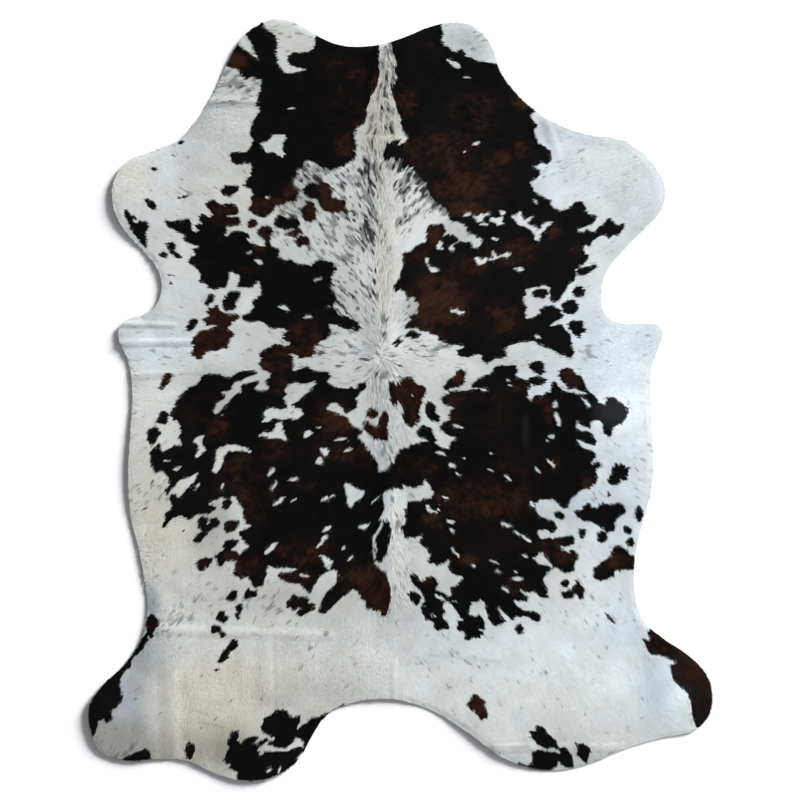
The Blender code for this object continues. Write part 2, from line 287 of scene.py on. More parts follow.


# The markings, as charted. An outline gives its corners as column,row. What the numbers of other rows
# mean is written above them.
markings = {
    "dark": {
        "left shoulder": "316,22 378,33 380,46 378,58 380,74 376,90 370,99 367,111 366,122 358,128 "
            "352,133 355,143 357,151 355,159 349,164 341,167 331,170 322,167 313,163 307,159 303,164 "
            "298,171 295,178 292,185 298,191 297,201 288,202 281,205 274,208 271,214 265,218 258,217 "
            "247,210 252,203 251,196 253,190 243,186 245,181 250,176 251,164 245,164 238,165 231,161 "
            "230,153 237,151 240,154 247,151 248,148 253,141 250,133 251,126 255,116 260,111 257,105 "
            "256,97 260,91 261,80 252,78 245,80 241,75 239,71 229,67 220,66 228,50 243,32 255,22 262,19 "
            "265,28 270,32 277,38 278,46 276,54 277,62 281,68 286,73 295,73 303,70 307,69 301,67 293,67 "
            "288,65 286,59 290,54 296,52 300,53 307,52 313,48 315,44 314,38 315,35",
        "right shoulder": "388,34 443,16 442,25 443,32 442,40 447,46 454,52 462,50 466,53 466,56 475,60 "
            "481,61 493,65 497,63 507,58 549,105 536,112 530,115 532,120 537,126 534,131 537,138 538,144 "
            "543,145 550,150 552,157 548,164 539,164 533,167 539,170 541,174 537,179 530,183 533,189 "
            "539,195 551,201 551,206 560,211 568,209 574,202 581,201 585,206 589,213 597,217 593,224 "
            "586,226 581,228 570,240 485,245 450,220 449,215 446,209 439,205 433,198 428,191 426,183 "
            "419,175 410,168 401,163 391,159 385,160 382,155 387,143 396,140 403,145 407,138 403,129 "
            "400,120 396,106 394,97 391,88 397,78 394,69 397,61 390,43",
        "right barrel": "426,242 417,245 410,251 401,256 403,265 401,275 395,284 393,290 403,291 405,300 "
            "415,298 417,304 417,313 410,316 408,322 405,328 412,329 421,331 430,335 438,335 439,341 "
            "447,344 466,346 456,350 457,355 465,357 472,356 481,355 483,361 487,364 493,359 500,359 "
            "507,356 506,350 508,346 518,343 532,341 539,344 546,348 553,351 562,356 571,358 575,351 "
            "571,343 571,336 565,330 561,324 551,326 553,322 561,320 563,315 560,308 552,306 555,303 "
            "559,300 565,291 568,285 575,281 576,269 583,265 589,256 585,253 583,248 582,242 568,228 "
            "484,243 476,248 471,243 464,241 457,243 459,238 452,234 446,234 446,228 442,223 433,224 "
            "427,228",
        "elbow arm": "568,226 577,226 583,229 588,228 590,231 594,231 603,223 609,217 614,222 617,225 "
            "625,223 623,231 618,236 612,236 609,240 606,236 600,236 594,240 590,246 583,246 576,243 "
            "570,238",
        "lower elbow arm": "579,268 590,266 596,264 598,267 593,271 586,274 580,276 576,273",
        "left barrel": "166,220 177,221 181,220 190,218 192,223 191,227 194,232 200,231 196,227 195,225 "
            "202,223 199,218 202,213 209,217 214,215 209,209 206,204 209,200 216,200 220,204 223,205 "
            "230,203 236,204 239,210 237,215 239,218 241,224 235,226 225,227 226,231 224,238 232,232 "
            "241,231 250,235 247,240 258,245 262,247 265,242 256,232 262,226 269,225 273,231 270,239 "
            "271,245 280,249 278,256 285,260 293,260 298,264 306,265 313,264 319,260 325,260 333,262 "
            "335,268 337,270 331,277 333,281 330,288 335,294 337,302 331,306 322,305 334,310 340,315 "
            "349,317 357,320 359,325 356,331 345,329 337,325 330,322 330,334 326,340 320,341 319,345 "
            "313,348 315,352 311,357 301,359 295,355 289,351 293,357 295,364 288,374 271,374 262,370 "
            "259,364 262,357 259,352 265,349 274,344 281,344 289,346 291,342 283,340 283,335 288,330 "
            "281,328 274,329 267,326 262,322 259,320 251,323 244,321 241,316 251,312 253,307 252,301 "
            "260,295 261,290 260,280 255,283 252,288 241,288 237,286 239,275 230,272 228,279 226,288 "
            "218,288 214,290 208,288 206,283 198,283 198,280 201,275 199,270 193,266 188,262 191,257 "
            "196,255 193,249 199,246 188,243 183,239 184,234 176,231 168,227 165,223",
        "left flank": "171,415 172,408 177,401 181,394 188,388 195,385 200,381 201,376 209,373 218,373 "
            "225,377 232,377 237,372 244,370 255,370 258,373 269,374 288,371 297,370 308,366 313,370 "
            "319,372 328,373 331,378 325,383 329,383 336,387 345,389 351,387 356,390 360,383 365,385 "
            "365,391 357,395 356,401 357,408 351,412 345,415 348,420 353,426 363,431 359,438 363,442 "
            "368,449 374,456 378,465 380,472 385,470 390,468 396,461 403,470 403,488 388,490 382,495 "
            "385,507 380,518 376,523 373,540 373,555 375,561 376,567 366,590 359,591 352,591 343,597 "
            "336,603 326,613 318,613 321,601 327,592 334,585 338,576 334,570 325,573 319,578 315,588 "
            "311,595 306,590 299,585 290,583 281,580 276,576 281,573 268,566 267,571 265,580 263,586 "
            "255,588 251,582 246,576 241,580 232,574 235,565 240,555 244,549 251,547 246,544 241,538 "
            "239,531 252,526 245,523 243,518 243,510 240,505 237,501 234,497 224,497 217,500 210,502 "
            "207,504 213,505 217,507 215,510 211,513 205,514 195,516 188,521 183,516 173,518 167,525 "
            "163,529 161,528 164,521 165,512 172,509 171,503 169,497 172,493 176,494 178,499 184,493 "
            "189,487 194,481 198,473 190,477 184,479 178,482 174,487 170,492 166,496 165,491 169,484 "
            "168,477 163,472 156,473 151,465 151,451 160,442 162,451 170,449 176,445 181,445 179,438 "
            "180,431 179,424 176,419 173,421",
        "beside the back": "377,521 383,520 389,521 391,530 390,541 387,553 382,562 376,562 374,553 "
            "374,540 375,528",
        "right flank": "442,403 441,397 449,393 458,390 471,390 472,385 479,378 491,373 495,366 505,365 "
            "515,365 518,370 516,376 523,379 530,381 531,387 528,391 528,398 531,401 533,396 541,395 "
            "551,391 552,382 556,381 558,387 562,390 576,394 583,400 589,406 583,415 577,420 575,427 "
            "581,432 590,432 596,440 595,445 585,443 576,439 578,443 584,449 595,451 597,457 590,462 "
            "596,468 598,477 595,484 590,488 581,490 576,495 571,501 568,508 562,509 558,505 551,499 "
            "541,499 535,503 537,511 539,516 546,518 554,521 558,528 553,533 546,530 539,530 537,533 "
            "541,538 553,539 565,536 573,536 575,540 573,545 567,546 565,550 576,551 579,558 576,563 "
            "575,570 565,573 555,567 546,575 543,580 547,590 548,597 541,598 535,592 528,592 518,590 "
            "528,597 528,601 518,601 513,599 516,605 521,609 527,611 533,611 540,613 542,618 538,623 "
            "533,620 528,617 522,618 517,616 514,620 509,618 502,611 495,606 506,622 500,625 493,625 "
            "488,618 485,608 484,601 472,603 470,608 468,615 479,615 484,622 486,629 484,634 481,638 "
            "472,638 468,641 463,640 465,634 457,628 457,621 463,620 458,614 454,607 447,601 442,597 "
            "450,595 451,588 458,584 463,578 454,575 448,567 449,558 446,562 438,566 427,562 430,555 "
            "426,548 418,544 423,535 417,538 404,538 401,528 406,521 404,511 410,501 421,500 430,498 "
            "434,491 430,486 425,478 424,484 415,488 403,485 398,484 390,488 385,493 387,470 393,468 "
            "394,461 400,449 408,447 417,445 424,441 434,441 440,447 449,449 451,442 456,438 447,435 "
            "438,428 442,423 449,421 449,415 450,410 456,408 443,405",
        "right flank arm": "578,388 588,390 594,396 600,403 606,404 607,398 614,397 621,402 628,409 "
            "628,415 622,424 615,425 612,433 608,438 603,432 602,425 600,420 593,421 588,428 580,425 "
            "577,420",
        "rump drop": "410,574 417,576 421,582 426,576 435,577 438,584 435,590 445,592 450,598 442,606 "
            "447,613 442,618 447,622 450,629 442,628 439,631 433,627 432,621 425,620 424,616 421,611 "
            "421,606 426,601 421,592 417,588 412,581",
        "rump drop, small": "408,594 413,591 419,595 422,600 417,605 411,601",
        "left elbow wedge": "124,209 128,209 131,214 137,217 138,221 147,222 150,227 146,230 147,240 "
            "147,249 140,243 133,233 127,222 124,212",
        "left elbow spot": "144,199 149,199 156,203 157,209 152,210 147,205",
        "left elbow island": "165,242 172,241 176,245 175,250 178,253 182,258 176,259 171,254 168,249",
        "left elbow island, small": "158,253 164,251 168,254 166,258 160,256",
        "barrel island 1": "204,304 206,298 210,294 214,296 212,302 208,306",
        "barrel island 2": "222,302 225,297 231,291 238,290 241,293 240,298 236,302 237,307 232,311 "
            "225,311 223,307",
        "barrel island 3": "186,329 188,322 192,318 197,319 197,325 193,330 189,332",
        "above the left barrel": "275,219 280,215 287,217 293,219 298,218 300,223 297,229 290,228 285,231 "
            "279,229 275,225",
        "middle patch, right": "425,404 432,402 437,407 435,413 440,417 439,423 433,422 428,418 425,413",
        "middle patch, lower": "419,428 425,425 432,428 433,433 436,438 441,441 430,441 418,437 416,432",
        "right arm top": "558,372 562,370 567,367 573,369 576,374 583,379 586,386 587,392 580,391 573,388 "
            "568,389 563,384 560,377",
        "right flank top": "443,388 447,380 455,377 456,371 461,368 466,373 464,383 459,388 447,390",
        "shoulder island": "219,191 225,186 233,184 240,187 237,193 230,196 223,196",
        "back island": "303,186 308,183 318,184 323,182 329,184 331,192 332,198 340,199 347,203 348,208 "
            "343,212 336,213 328,212 321,208 318,201 312,199 305,196",
        "hook": "394,348 395,341 398,337 402,336 402,341 399,345 397,349",
        "hook, right": "405,334 409,331 414,331 419,334 419,338 413,340 408,338",
        "below the right barrel 1": "568,323 574,320 582,321 584,327 588,330 583,333 579,338 573,335 "
            "569,329",
        "below the right barrel 2": "529,366 534,362 541,361 543,367 547,372 541,375 535,371 530,369",
        "below the right barrel 3": "528,379 534,376 542,378 546,381 542,385 534,385",
        "flank spot 1": "156,422 158,414 163,411 169,412 169,418 166,424 160,424",
        "flank spot 2": "146,438 148,430 154,426 160,428 161,434 157,440 152,447 149,443",
        "flank spot 3": "193,541 196,535 202,532 198,528 197,520 203,516 210,519 216,517 220,520 218,526 "
            "211,530 207,535 201,541 196,544",
        "flank spot 4": "224,524 227,520 233,519 239,520 240,525 235,531 228,533 224,530",
        "flank spot 5": "222,508 223,501 226,497 231,498 232,503 230,508 225,510",
        "flank spot 6": "195,564 201,558 208,557 214,559 210,565 204,571 198,571",
        "flank spot 7": "214,556 219,552 224,550 228,552 224,557 226,561 221,567 216,565 217,560",
        "flank spot 8": "222,547 227,540 234,538 239,541 236,546 230,550 225,552",
        "flank spot 9": "286,603 290,598 293,593 296,594 298,598 303,596 309,596 308,603 313,603 316,605 "
            "313,611 309,612 304,616 301,611 299,607 296,611 292,610 288,607",
        "flank spot 10": "225,600 228,594 233,590 238,591 237,597 232,602",
        "flank spot 11": "243,598 246,590 249,587 252,592 258,589 257,597 250,598 245,600",
        "flank spot 12": "233,616 237,612 236,608 238,603 243,603 243,609 240,615 239,620 236,619",
        "flank spot 13": "215,618 219,612 223,610 225,615 228,617 230,617 226,622 222,623 218,621",
        "flank spot 14": "218,662 220,655 223,650 227,648 229,643 233,638 238,640 238,645 234,650 230,653 "
            "229,658 224,662 220,663",
        "right rim spot 1": "613,461 618,464 624,468 629,467 628,475 626,481 621,480 618,486 611,485 "
            "608,478 612,473 616,468",
        "right rim spot 2": "574,512 579,510 583,507 587,502 591,503 592,507 598,507 602,502 607,503 "
            "612,505 617,502 623,504 625,510 623,515 618,518 615,522 615,528 613,532 607,533 600,527 "
            "593,523 585,522 577,517",
        "right rim spot 3": "553,511 560,512 565,518 562,521 556,517",
        "right rim spot 4": "611,552 613,547 619,546 627,550 630,555 636,558 637,564 636,570 625,570 "
            "613,571 615,576 608,578 603,580 599,582 594,577 592,570 593,566 598,567 600,564 602,561 "
            "607,558 610,556",
        "right rim spot 5": "561,592 566,592 568,589 573,590 572,586 576,585 575,580 578,580 581,584 "
            "586,590 583,593 584,598 580,600 577,595 575,594 574,598 568,599 563,598",
        "left thigh spot": "148,615 154,615 159,620 158,627 154,631 153,638 150,639 147,630 146,622",
        "left thigh rim": "149,632 148,640 144,647 138,653 131,660 122,666 116,660 135,640",
        "left hind leg": "131,659 130,668 124,672 121,680 121,686 123,694 121,702 116,708 112,710 113,718 "
            "107,724 104,721 99,719 98,726 95,734 91,740 80,725 80,695 92,683 105,672 118,662 126,656",
        "left heel": "108,766 112,760 122,758 130,755 137,752 140,750 147,748 150,752 153,760 152,772 "
            "112,774",
        "left heel spot": "186,746 190,742 195,744 195,751 191,760 187,757 185,751",
        "tail patch": "261,726 265,718 272,715 273,711 277,710 287,710 289,713 291,717 301,716 300,722 "
            "297,727 296,731 297,737 293,741 290,745 286,748 279,748 273,746 267,745 271,741 276,739 "
            "270,737 268,735 262,731",
        "tail patch arm": "345,703 335,708 324,714 320,717 312,718 306,723 300,727 296,731 297,737 "
            "300,739 303,741 304,745 305,748 306,756 322,740 330,726 342,714",
        "tail patch, lower": "232,731 239,730 239,735 237,740 242,742 245,738 250,736 256,736 259,738 "
            "257,741 251,743 258,743 262,741 266,738 269,738 268,741 264,744 258,746 258,750 260,752 "
            "261,755 266,751 280,751 290,751 295,747 300,746 305,748 305,752 300,753 297,757 299,764 "
            "288,773 274,782 255,788 238,786 237,777 237,771 230,768 231,761 227,763 223,760 225,754 "
            "229,748 227,743 231,734",
        "right heel": "528,729 531,731 534,730 536,726 539,725 542,725 545,728 546,732 548,735 552,737 "
            "556,740 559,745 561,747 566,747 569,750 571,754 573,757 571,758 573,761 573,766 570,768 "
            "566,767 562,765 558,762 557,766 553,769 549,771 540,777 527,776 518,771 512,765 520,763 "
            "528,766 531,763 532,758 531,755 534,753 531,751 536,750 541,751 548,752 547,750 543,749 "
            "540,746 536,743 533,740 528,736 532,736 530,733",
        "right heel, outer": "574,742 578,744 583,743 586,745 590,747 591,752 590,756 588,760 587,764 "
            "584,762 580,759 577,755 578,752 577,748 576,745",
        "right hind leg": "649,630 657,626 673,634 692,644 710,662 722,690 718,718 704,729 696,727 "
            "693,721 691,711 690,702 688,693 680,687 673,681 671,673 670,666 675,663 667,657 659,655 "
            "650,655 645,647 643,641 645,638 648,641 650,639 647,633",
    },
    # round dark spots: column, row, half width, half height
    "darkSpots": (
        "578.5,292,6.5,6 583,271,5,4 570.5,307,8.5,7.5 252.5,223.5,5.5,5 292,196.5,6,6 181,142.5,3.5,2.5 "
        "154.5,169.5,3,2 582,533,3.5,5 602,537,5.5,5.5 627.5,530,4,4.5 630.5,543,4.5,5 597,465,4.5,3.5 "
        "565,583.5,4.5,4.2 639,514,4,9 215.5,629,5.5,4.5 222.5,634.5,3,3.5 519.5,629.5,4.5,5.5 "
        "608.5,494,2,2.5 537.5,367,7.5,6.5 538,380.5,8,4.8 613,482,5,4.5 620,470,8,6 300,613,3.5,3 "
        "322,610,4,4 570,568,5.5,5"
    ),
    # thin dark strokes on the pale hair, the same columns as the flecks
    "darkFlecks": (
        "610,618.5,16,3.6,-50 216,670,11,2.4,14 183,197,13,3,12 171,275,9,2.4,-20 171,283,5,3,0 "
        "172,156,5,2.4,-20 152,483,8,2.6,60 145,508,6,2.4,40 184,531,5,2.6,20"
    ),
    "white": {
        "neck sliver": "245,35 251,44 254,53 261,62 252,55 245,50 239,46 238,40",
        "shoulder gap": "261,144 271,140 273,135 284,134 287,138 283,143 283,150 285,155 280,157 276,153 "
            "265,151",
        "above the right barrel": "446,228 448,225 453,224 456,221 459,223 463,224 465,226 469,227 "
            "466,230 469,233 476,236 479,238 484,240 478,241 476,244 474,248 472,246 471,242 466,240 "
            "461,242 460,239 457,234 452,233 446,235 442,237 445,233 449,232",
        "right wedge 1": "446,59 452,60 457,63 461,68 455,68 451,64",
        "right fork": "511,216 516,216 519,211 521,212 521,218 525,220 530,216 534,216 530,221 529,225 "
            "535,227 540,229 545,223 550,221 553,222 549,226 545,230 541,233 540,240 537,241 534,236 "
            "531,231 525,228 519,226 516,221",
        "right fork, inner": "471,214 474,216 478,217 481,214 484,214 488,212 490,214 485,216 482,218 "
            "483,221 479,222 475,219",
        "right block": "490,217 494,217 499,217 503,215 502,220 503,225 497,225 494,222 490,222",
        "right chip": "497,208 500,210 503,211 506,213 503,215 498,213 500,211",
        "barrel pocket": "525,296 526,292 530,288 535,287 543,286 551,288 549,292 549,298 553,302 557,304 "
            "562,310 557,308 553,305 543,307 537,315 531,318 526,318 524,312 528,308 524,304",
        "barrel zigzag": "475,257 479,257 483,259 490,258 494,257 492,252 494,251 498,256 503,255 507,252 "
            "511,253 510,256 503,257 495,259 488,261 486,264 481,265 477,262",
        "barrel tooth": "435,247 438,243 440,240 443,243 440,246 445,249 439,249",
        "barrel chip": "447,249 451,246 456,242 453,247 456,250 451,251",
        "barrel claw": "426,257 428,258 428,263 431,267 435,268 440,269 437,272 432,273 429,270 427,265",
        "flank wedge": "213,411 215,407 215,405 219,402 225,399 225,395 221,392 228,391 232,390 232,386 "
            "235,383 240,382 243,380 248,377 253,376 257,372 258,366 262,370 267,371 272,374 269,378 "
            "264,381 265,384 269,386 268,389 266,391 262,390 256,389 256,386 259,384 259,380 255,381 "
            "248,383 243,385 240,388 241,390 245,392 239,393 234,396 230,400 226,405 222,408 221,411 "
            "219,413 214,413",
        "flank pocket": "285,389 290,384 298,383 306,385 312,381 317,383 313,387 308,392 302,397 297,402 "
            "292,405 288,406 286,402 283,398 285,394",
        "flank band": "257,422 261,421 265,418 263,415 267,409 271,408 281,410 287,409 286,405 292,405 "
            "294,408 298,408 301,412 304,414 299,417 294,420 288,418 280,420 274,419 268,422 262,422",
        "flank branch": "257,436 263,433 272,432 276,425 282,420 283,430 285,436 287,441 278,438 268,437 "
            "260,437",
        "flank mite": "302,436 305,431 310,430 312,433 307,438",
        "flank nick": "325,408 330,403 336,403 342,408 346,415 342,415 333,411 325,410",
        "left lens": "191,443 197,438 204,436 202,441 203,446 206,450 202,453 198,457 195,459 196,454 "
            "199,450 198,445 194,442",
        "left bay": "210,472 214,465 216,458 217,451 219,447 226,446 236,445 246,448 254,452 249,453 "
            "240,450 229,451 223,456 223,463 221,468 217,473",
        "flank fleck": "321,449 325,448 329,451 327,456 323,455 320,452",
        "flank fleck, lower": "316,459 320,457 324,460 322,465 318,466 316,463",
        "flank bird": "344,483 350,484 354,488 360,490 365,493 360,498 356,501 352,507 349,507 347,499 "
            "345,491",
        "flank tail": "316,547 320,541 323,535 327,534 328,538 323,542 319,547",
        "flank bud": "319,555 325,556 329,560 333,561 331,566 329,571 325,567 323,561",
        "flank foot": "311,592 316,584 320,578 327,572 333,570 338,573 337,581 331,588 325,592 318,597 "
            "311,597",
        "right wedge, middle": "435,433 441,435 447,438 451,442 449,447 441,444 436,438",
        "right sliver": "452,424 457,424 463,427 462,429 457,428",
        "right hook": "425,506 428,505 430,509 435,510 440,509 440,512 434,513 429,512 426,509",
        "right star": "532,557 538,557 541,550 544,555 546,559 551,564 556,570 548,566 541,564 536,561",
        "heel gap": "548,748 552,747 556,749 560,750 561,754 556,752 551,751 548,751",
        "arm streak": "579,394 582,395 591,406 588,407",
        "left elbow nick": "134,220 138,219 139,222 135,223",
    },
    # pocket drop, pocket bridge and gap bridge, the same columns as the dark spots
    "darkInWhite": (
        "540,293.5,8,5 553,296,4,7 330,308,3,1.5"
    ),
    # white flecks between dark tufts: column, row, length, width, degrees anticlockwise from pointing right
    "flecks": (
        "413,397,4,2,60 291,108,10,2.2,5 268,198,5,2.2,5 476,143.5,10,3.4,15 466,151.3,5,1.6,10 "
        "467,78,8,1.6,-10 467,214.8,8,2.6,0 483.5,224.8,11,2.2,0 495,238.8,11,2.2,-25 518.5,269,12,2.8,-15 "
        "456.5,311.5,17,4,-5 537,336.5,8,3.4,-35 535.5,202.5,7,2.4,-35 582,230,8,2.6,5 249,253,6,2.4,30 "
        "259,262,11,2.2,-8 318,279,12,3,28 284,308.5,14,4,-20 307,317,10,2.4,15 287,345,8,2.8,50 "
        "212,326,6,3,10 232,216,14,1.8,0 208.5,521,11,2.2,75 221.7,415.7,7,2,10 177.5,468.5,11,2.4,22 "
        "167,461.5,9,1.4,0 198,485,9,2.2,55 222.5,486,9,4,70 272,471,13,2.8,60 274,486,11,3.6,55 "
        "279,501,20,3.4,32 294,500,9,1.8,30 294,480,13,3,12 327,498,18,2.2,20 340,439.5,15,3.4,8 "
        "348,450,10,2.8,20 317,428,11,1.5,5 376,499,12,2.2,35 343,547.5,8,2.4,60 271,548,20,5,42 "
        "350,558,9,2.4,58 282,570,34,4.4,2 304,575.5,13,1.8,-8 364,526,13,4,15 378,531,26,3,62 "
        "375.5,547,16,1.8,-80 327,529,11,4,25 360,436,8,3,10 440,453,12,3.4,-20 452,465.5,9,4,-25 "
        "458,474.5,7,2.2,-30 465,458,7,1.8,-8 509,478.5,10,2.8,-25 551,463,14,3,-42 537,469.5,9,3.4,-55 "
        "552,437,8,5,10 547,441,5,2,-30 555,405,9,4,80 557.5,419.5,17,4.4,100 484,389.5,9,2.4,-15 "
        "471,388.5,16,2.2,-6 508,380,7,1.6,-30 509,386,5,1.6,-20 490,470,10,1.4,-30 491,454,6,1.4,-10 "
        "446,498,7,2,-15 437,505,7,1.5,0 506.5,525,14,3.2,-15 523,536.5,25,3.2,-33 455,552,16,3,-50 "
        "452,531,7,2.4,-50 449.5,521.5,10,5,-15 524,556.3,9,2.4,-25 494.5,562,12,2.2,-18 497.5,570.8,7,2,-10 "
        "473.5,565.5,4,2.2,-20 516,571.5,5,1.8,0 517.5,579,14,3.4,-6 505.5,589.5,10,4,-28 481,630,10,2,-30 "
        "439.5,597,17,2.6,-30 454,601,8,2.4,-15 434,616,10,1.6,-30 565,548.5,14,2.6,-35 532,504,9,2.6,-40 "
        "563,385,13,3,-50 579,392,15,2.6,-12 269,770.5,6,3,35 279,770,8,2.4,60 672,662,6,2.6,-20"
    ),
    "brown": {
        "above the left barrel, lower": "284,236 290,231 297,227 302,229 301,234 296,237 290,236",
        "left curl": "209,307 217,305 221,311 228,314 237,313 240,318 233,322 228,328 236,333 230,340 "
            "228,348 216,351 207,352 201,359 195,359 191,352 195,346 191,344 193,337 200,331 209,329 "
            "213,327 207,326 203,319 209,315 207,311",
        "left spot": "170,372 172,376 170,381 166,387 161,391 159,388 161,380 165,374",
        "left flank drop": "223,553 230,550 238,551 241,556 237,561 230,562 225,560",
        "rump end": "368,560 377,566 384,571 389,582 391,598 389,610 386,614 383,617 379,611 375,613 "
            "372,609 368,610 365,607 365,602 361,599 359,594 356,590 356,580",
        "middle crook": "362,424 366,421 370,423 374,427 378,426 380,417 383,411 387,411 389,420 387,427 "
            "389,434 387,441 380,441 374,440 369,435 364,430",
        "middle patch": "389,382 393,381 396,385 400,384 402,379 407,377 414,377 415,383 419,386 425,386 "
            "426,392 424,398 421,404 420,408 419,415 420,421 417,426 411,427 405,423 402,418 404,413 "
            "402,407 400,402 395,405 391,402 390,395 389,388",
        "right rump spot": "472,695 476,693 480,697 486,701 484,706 488,712 488,719 481,720 476,714 "
            "473,710 466,707 468,701",
    },
    # round brown spots, the same columns as the dark spots
    "brownSpots": (
        "302.5,241.5,7,6 309,212,7.5,11 372,413.5,6.3,5.5"
    ),
    # brown among the black: column, row, half width, half height, share
    "brownZones": (
        "238,62,10,8,1.0 270,207,22,10,0.85 290,192,8,8,0.7 345,144,10,12,0.65 375,82,5,10,0.75 "
        "345,75,26,20,0.3 350,110,30,24,0.22 405,98,14,18,0.5 440,152,34,22,0.6 470,182,34,26,0.6 "
        "465,208,20,8,0.8 475,114,26,22,0.4 523,102,10,8,0.8 503,158,9,7,0.85 523,150,12,8,0.5 "
        "432,50,10,8,0.25 335,205,15,10,0.85 325,190,7,8,0.8 433,236,9,12,0.6 415,255,12,14,0.4 "
        "440,305,30,30,0.7 430,310,17,19,0.9 512,252,26,12,0.55 503,316,22,16,0.5 552,230,9,9,0.6 "
        "470,265,20,10,0.35 575,250,7,8,0.5 226,213,16,12,0.6 258,226,12,10,0.6 262,242,9,12,0.6 "
        "248,270,10,5,0.5 224,334,22,26,0.55 305,340,24,20,0.5 274,352,14,10,0.5 276,365,14,8,0.5 "
        "278,383,11,12,0.4 200,415,26,24,0.24 217,428,11,13,0.42 335,418,20,18,0.75 310,434,11,7,0.5 "
        "272,448,20,13,0.42 238,463,16,12,0.42 243,495,34,30,0.34 366,455,11,16,0.4 330,455,36,14,0.3 "
        "305,485,16,10,0.25 300,553,30,14,0.46 292,577,22,8,0.5 250,568,19,16,0.34 362,584,26,28,0.38 "
        "360,578,16,14,0.48 297,603,11,8,0.4 202,564,9,7,0.3 165,381,6,9,0.5 231,526,8,6,0.45 "
        "153,622,8,9,0.35 372,410,8,7,0.9 381,431,9,12,0.75 402,394,13,14,0.75 418,408,11,14,0.5 "
        "458,377,6,8,1.0 456,412,12,20,0.34 520,386,9,8,0.5 571,378,12,9,0.65 541,398,10,6,0.45 "
        "548,417,6,12,0.5 490,412,24,34,0.2 418,468,20,14,0.38 483,500,54,19,0.55 433,518,9,6,0.85 "
        "438,525,7,5,0.7 468,560,10,5,0.75 560,551,18,12,0.5 588,484,7,6,0.75 617,560,15,8,0.85 "
        "431,580,8,8,0.5 516,587,15,8,0.4 575,588,7,6,0.3 550,464,9,8,0.5 518,470,26,24,0.26 "
        "480,545,60,30,0.15 480,706,14,16,0.8 690,675,28,46,0.62 665,645,20,14,0.55 545,545,12,6,0.4"
    ),
    # fine grey ticking among the white: column, row, half width, half height, share
    "ticking": (
        "291,33,22,14,0.28 478,42,20,14,0.46 627,177,5,3,0.7 626,189,4,3,0.6 587,174,6,3,0.8 583,160,4,3,0.7 "
        "236,92,26,12,0.5 205,140,40,30,0.16 205,592,24,20,0.42 176,617,24,16,0.62 262,605,26,18,0.4 "
        "290,625,60,14,0.15 150,490,20,34,0.36 572,172,34,18,0.3 430,690,170,40,0.05 140,350,20,40,0.06 "
        "300,362,26,20,0.42 396,560,14,60,0.12 440,352,30,12,0.3 637,470,14,18,0.35 330,630,60,12,0.14 "
        "450,655,60,14,0.16 350,655,40,26,0.2 190,190,24,14,0.25 110,735,22,14,0.3 130,752,24,9,0.6 "
        "596,463,8,8,0.6 615,500,40,12,0.15 570,615,60,14,0.16 240,650,40,14,0.1 269,608,4,3,0.9 "
        "281,612,9,5,0.7 264,597,5,3,0.8 252,622,3,3,0.7 247,629,4,4,0.7 311,647,4,5,0.7 315,688,5,4,0.7 "
        "327,634,4,4,0.7 275,594,6,4,0.5 592,596,3,5,0.8 566,616,4,5,0.9 596,627,4,4,0.9 600,615,4,3,0.6 "
        "449,685,5,6,0.8 589,347,5,8,0.9 118,757,12,5,0.9"
    ),
    # broad grey strokes among the white by the back, the same columns
    "roan": (
        "344,228,36,42,0.54 334,176,22,20,0.54 370,180,11,32,0.95 366,236,12,22,0.85 371,290,8,36,0.5 "
        "340,296,22,34,0.5 383,134,15,14,0.5 388,84,12,48,0.5 400,165,13,8,1.1 414,178,13,9,1.15 "
        "428,190,13,9,1.15 441,203,13,9,1.1 452,214,10,7,1.0 404,190,10,13,0.95 418,207,12,10,0.8 "
        "405,220,8,14,0.6 386,255,5,30,0.25 386,345,10,30,0.32 372,366,40,18,0.28 428,346,30,10,0.4 "
        "336,345,24,14,0.4 390,452,9,20,0.28 240,84,20,13,0.5 308,172,22,12,0.7 396,520,8,40,0.2 "
        "292,205,18,22,0.6 290,226,20,24,0.35 209,340,6,6,0.5 236,90,26,12,0.35 412,318,12,12,0.6 "
        "369,124,14,12,0.5"
    ),
    # cream (above 0) and bluish (below 0) white, the hair's own tint, with the bluish rows along the rims
    # painting the cool colour of shade there: column, row, half width, half height, share
    "tintsAndCoolShade": (
        "386,190,13,110,0.6 384,300,12,50,0.3 396,590,14,60,0.2 212,705,44,32,1.1 290,695,80,50,0.5 "
        "180,655,90,40,0.3 110,745,60,24,0.5 205,748,44,22,0.9 133,178,22,30,0.5 225,185,40,60,0.4 "
        "290,200,30,30,0.3 150,490,28,70,0.55 190,550,60,50,0.5 215,440,26,60,0.4 300,45,40,30,0.3 "
        "300,600,70,26,0.3 185,155,26,20,-0.3 205,122,34,24,-0.25 175,300,26,44,-0.3 150,348,44,20,-0.6 "
        "151,602,8,16,-1.2 145,655,16,24,-0.7 126,694,12,24,-0.9 640,185,60,60,-0.5 555,160,34,70,-0.5 "
        "610,330,70,60,-0.8 635,480,50,130,-0.7 540,510,60,80,-0.4 575,480,30,30,-0.3 540,390,40,24,-0.4 "
        "372,520,16,70,-0.4 510,50,60,50,-0.3 668,690,20,40,-0.8 635,622,28,24,-0.6 480,640,90,30,-0.3 "
        "600,640,70,30,-0.2 405,350,60,20,-0.1 385,80,14,50,0.4 130,590,20,20,0.2 655,690,16,24,-0.5 "
        "620,690,30,30,-0.4 368,116,12,30,0.6 360,150,18,14,0.3"
    ),
    # painted shade (above 0) and painted light (below 0) on the hair, partly its own darker and paler tone,
    # the same columns
    "paintedShadeAndTone": (
        "92,735,34,50,0.75 128,700,26,70,0.6 151,602,8,16,0.9 152,644,18,24,0.5 178,748,70,24,0.55 "
        "232,752,34,22,0.5 300,705,60,30,0.2 300,600,90,20,0.32 215,530,20,40,0.5 215,405,22,40,0.4 "
        "270,390,60,16,0.25 180,115,24,18,0.8 300,195,22,20,0.4 458,235,24,14,0.5 415,315,16,18,0.5 "
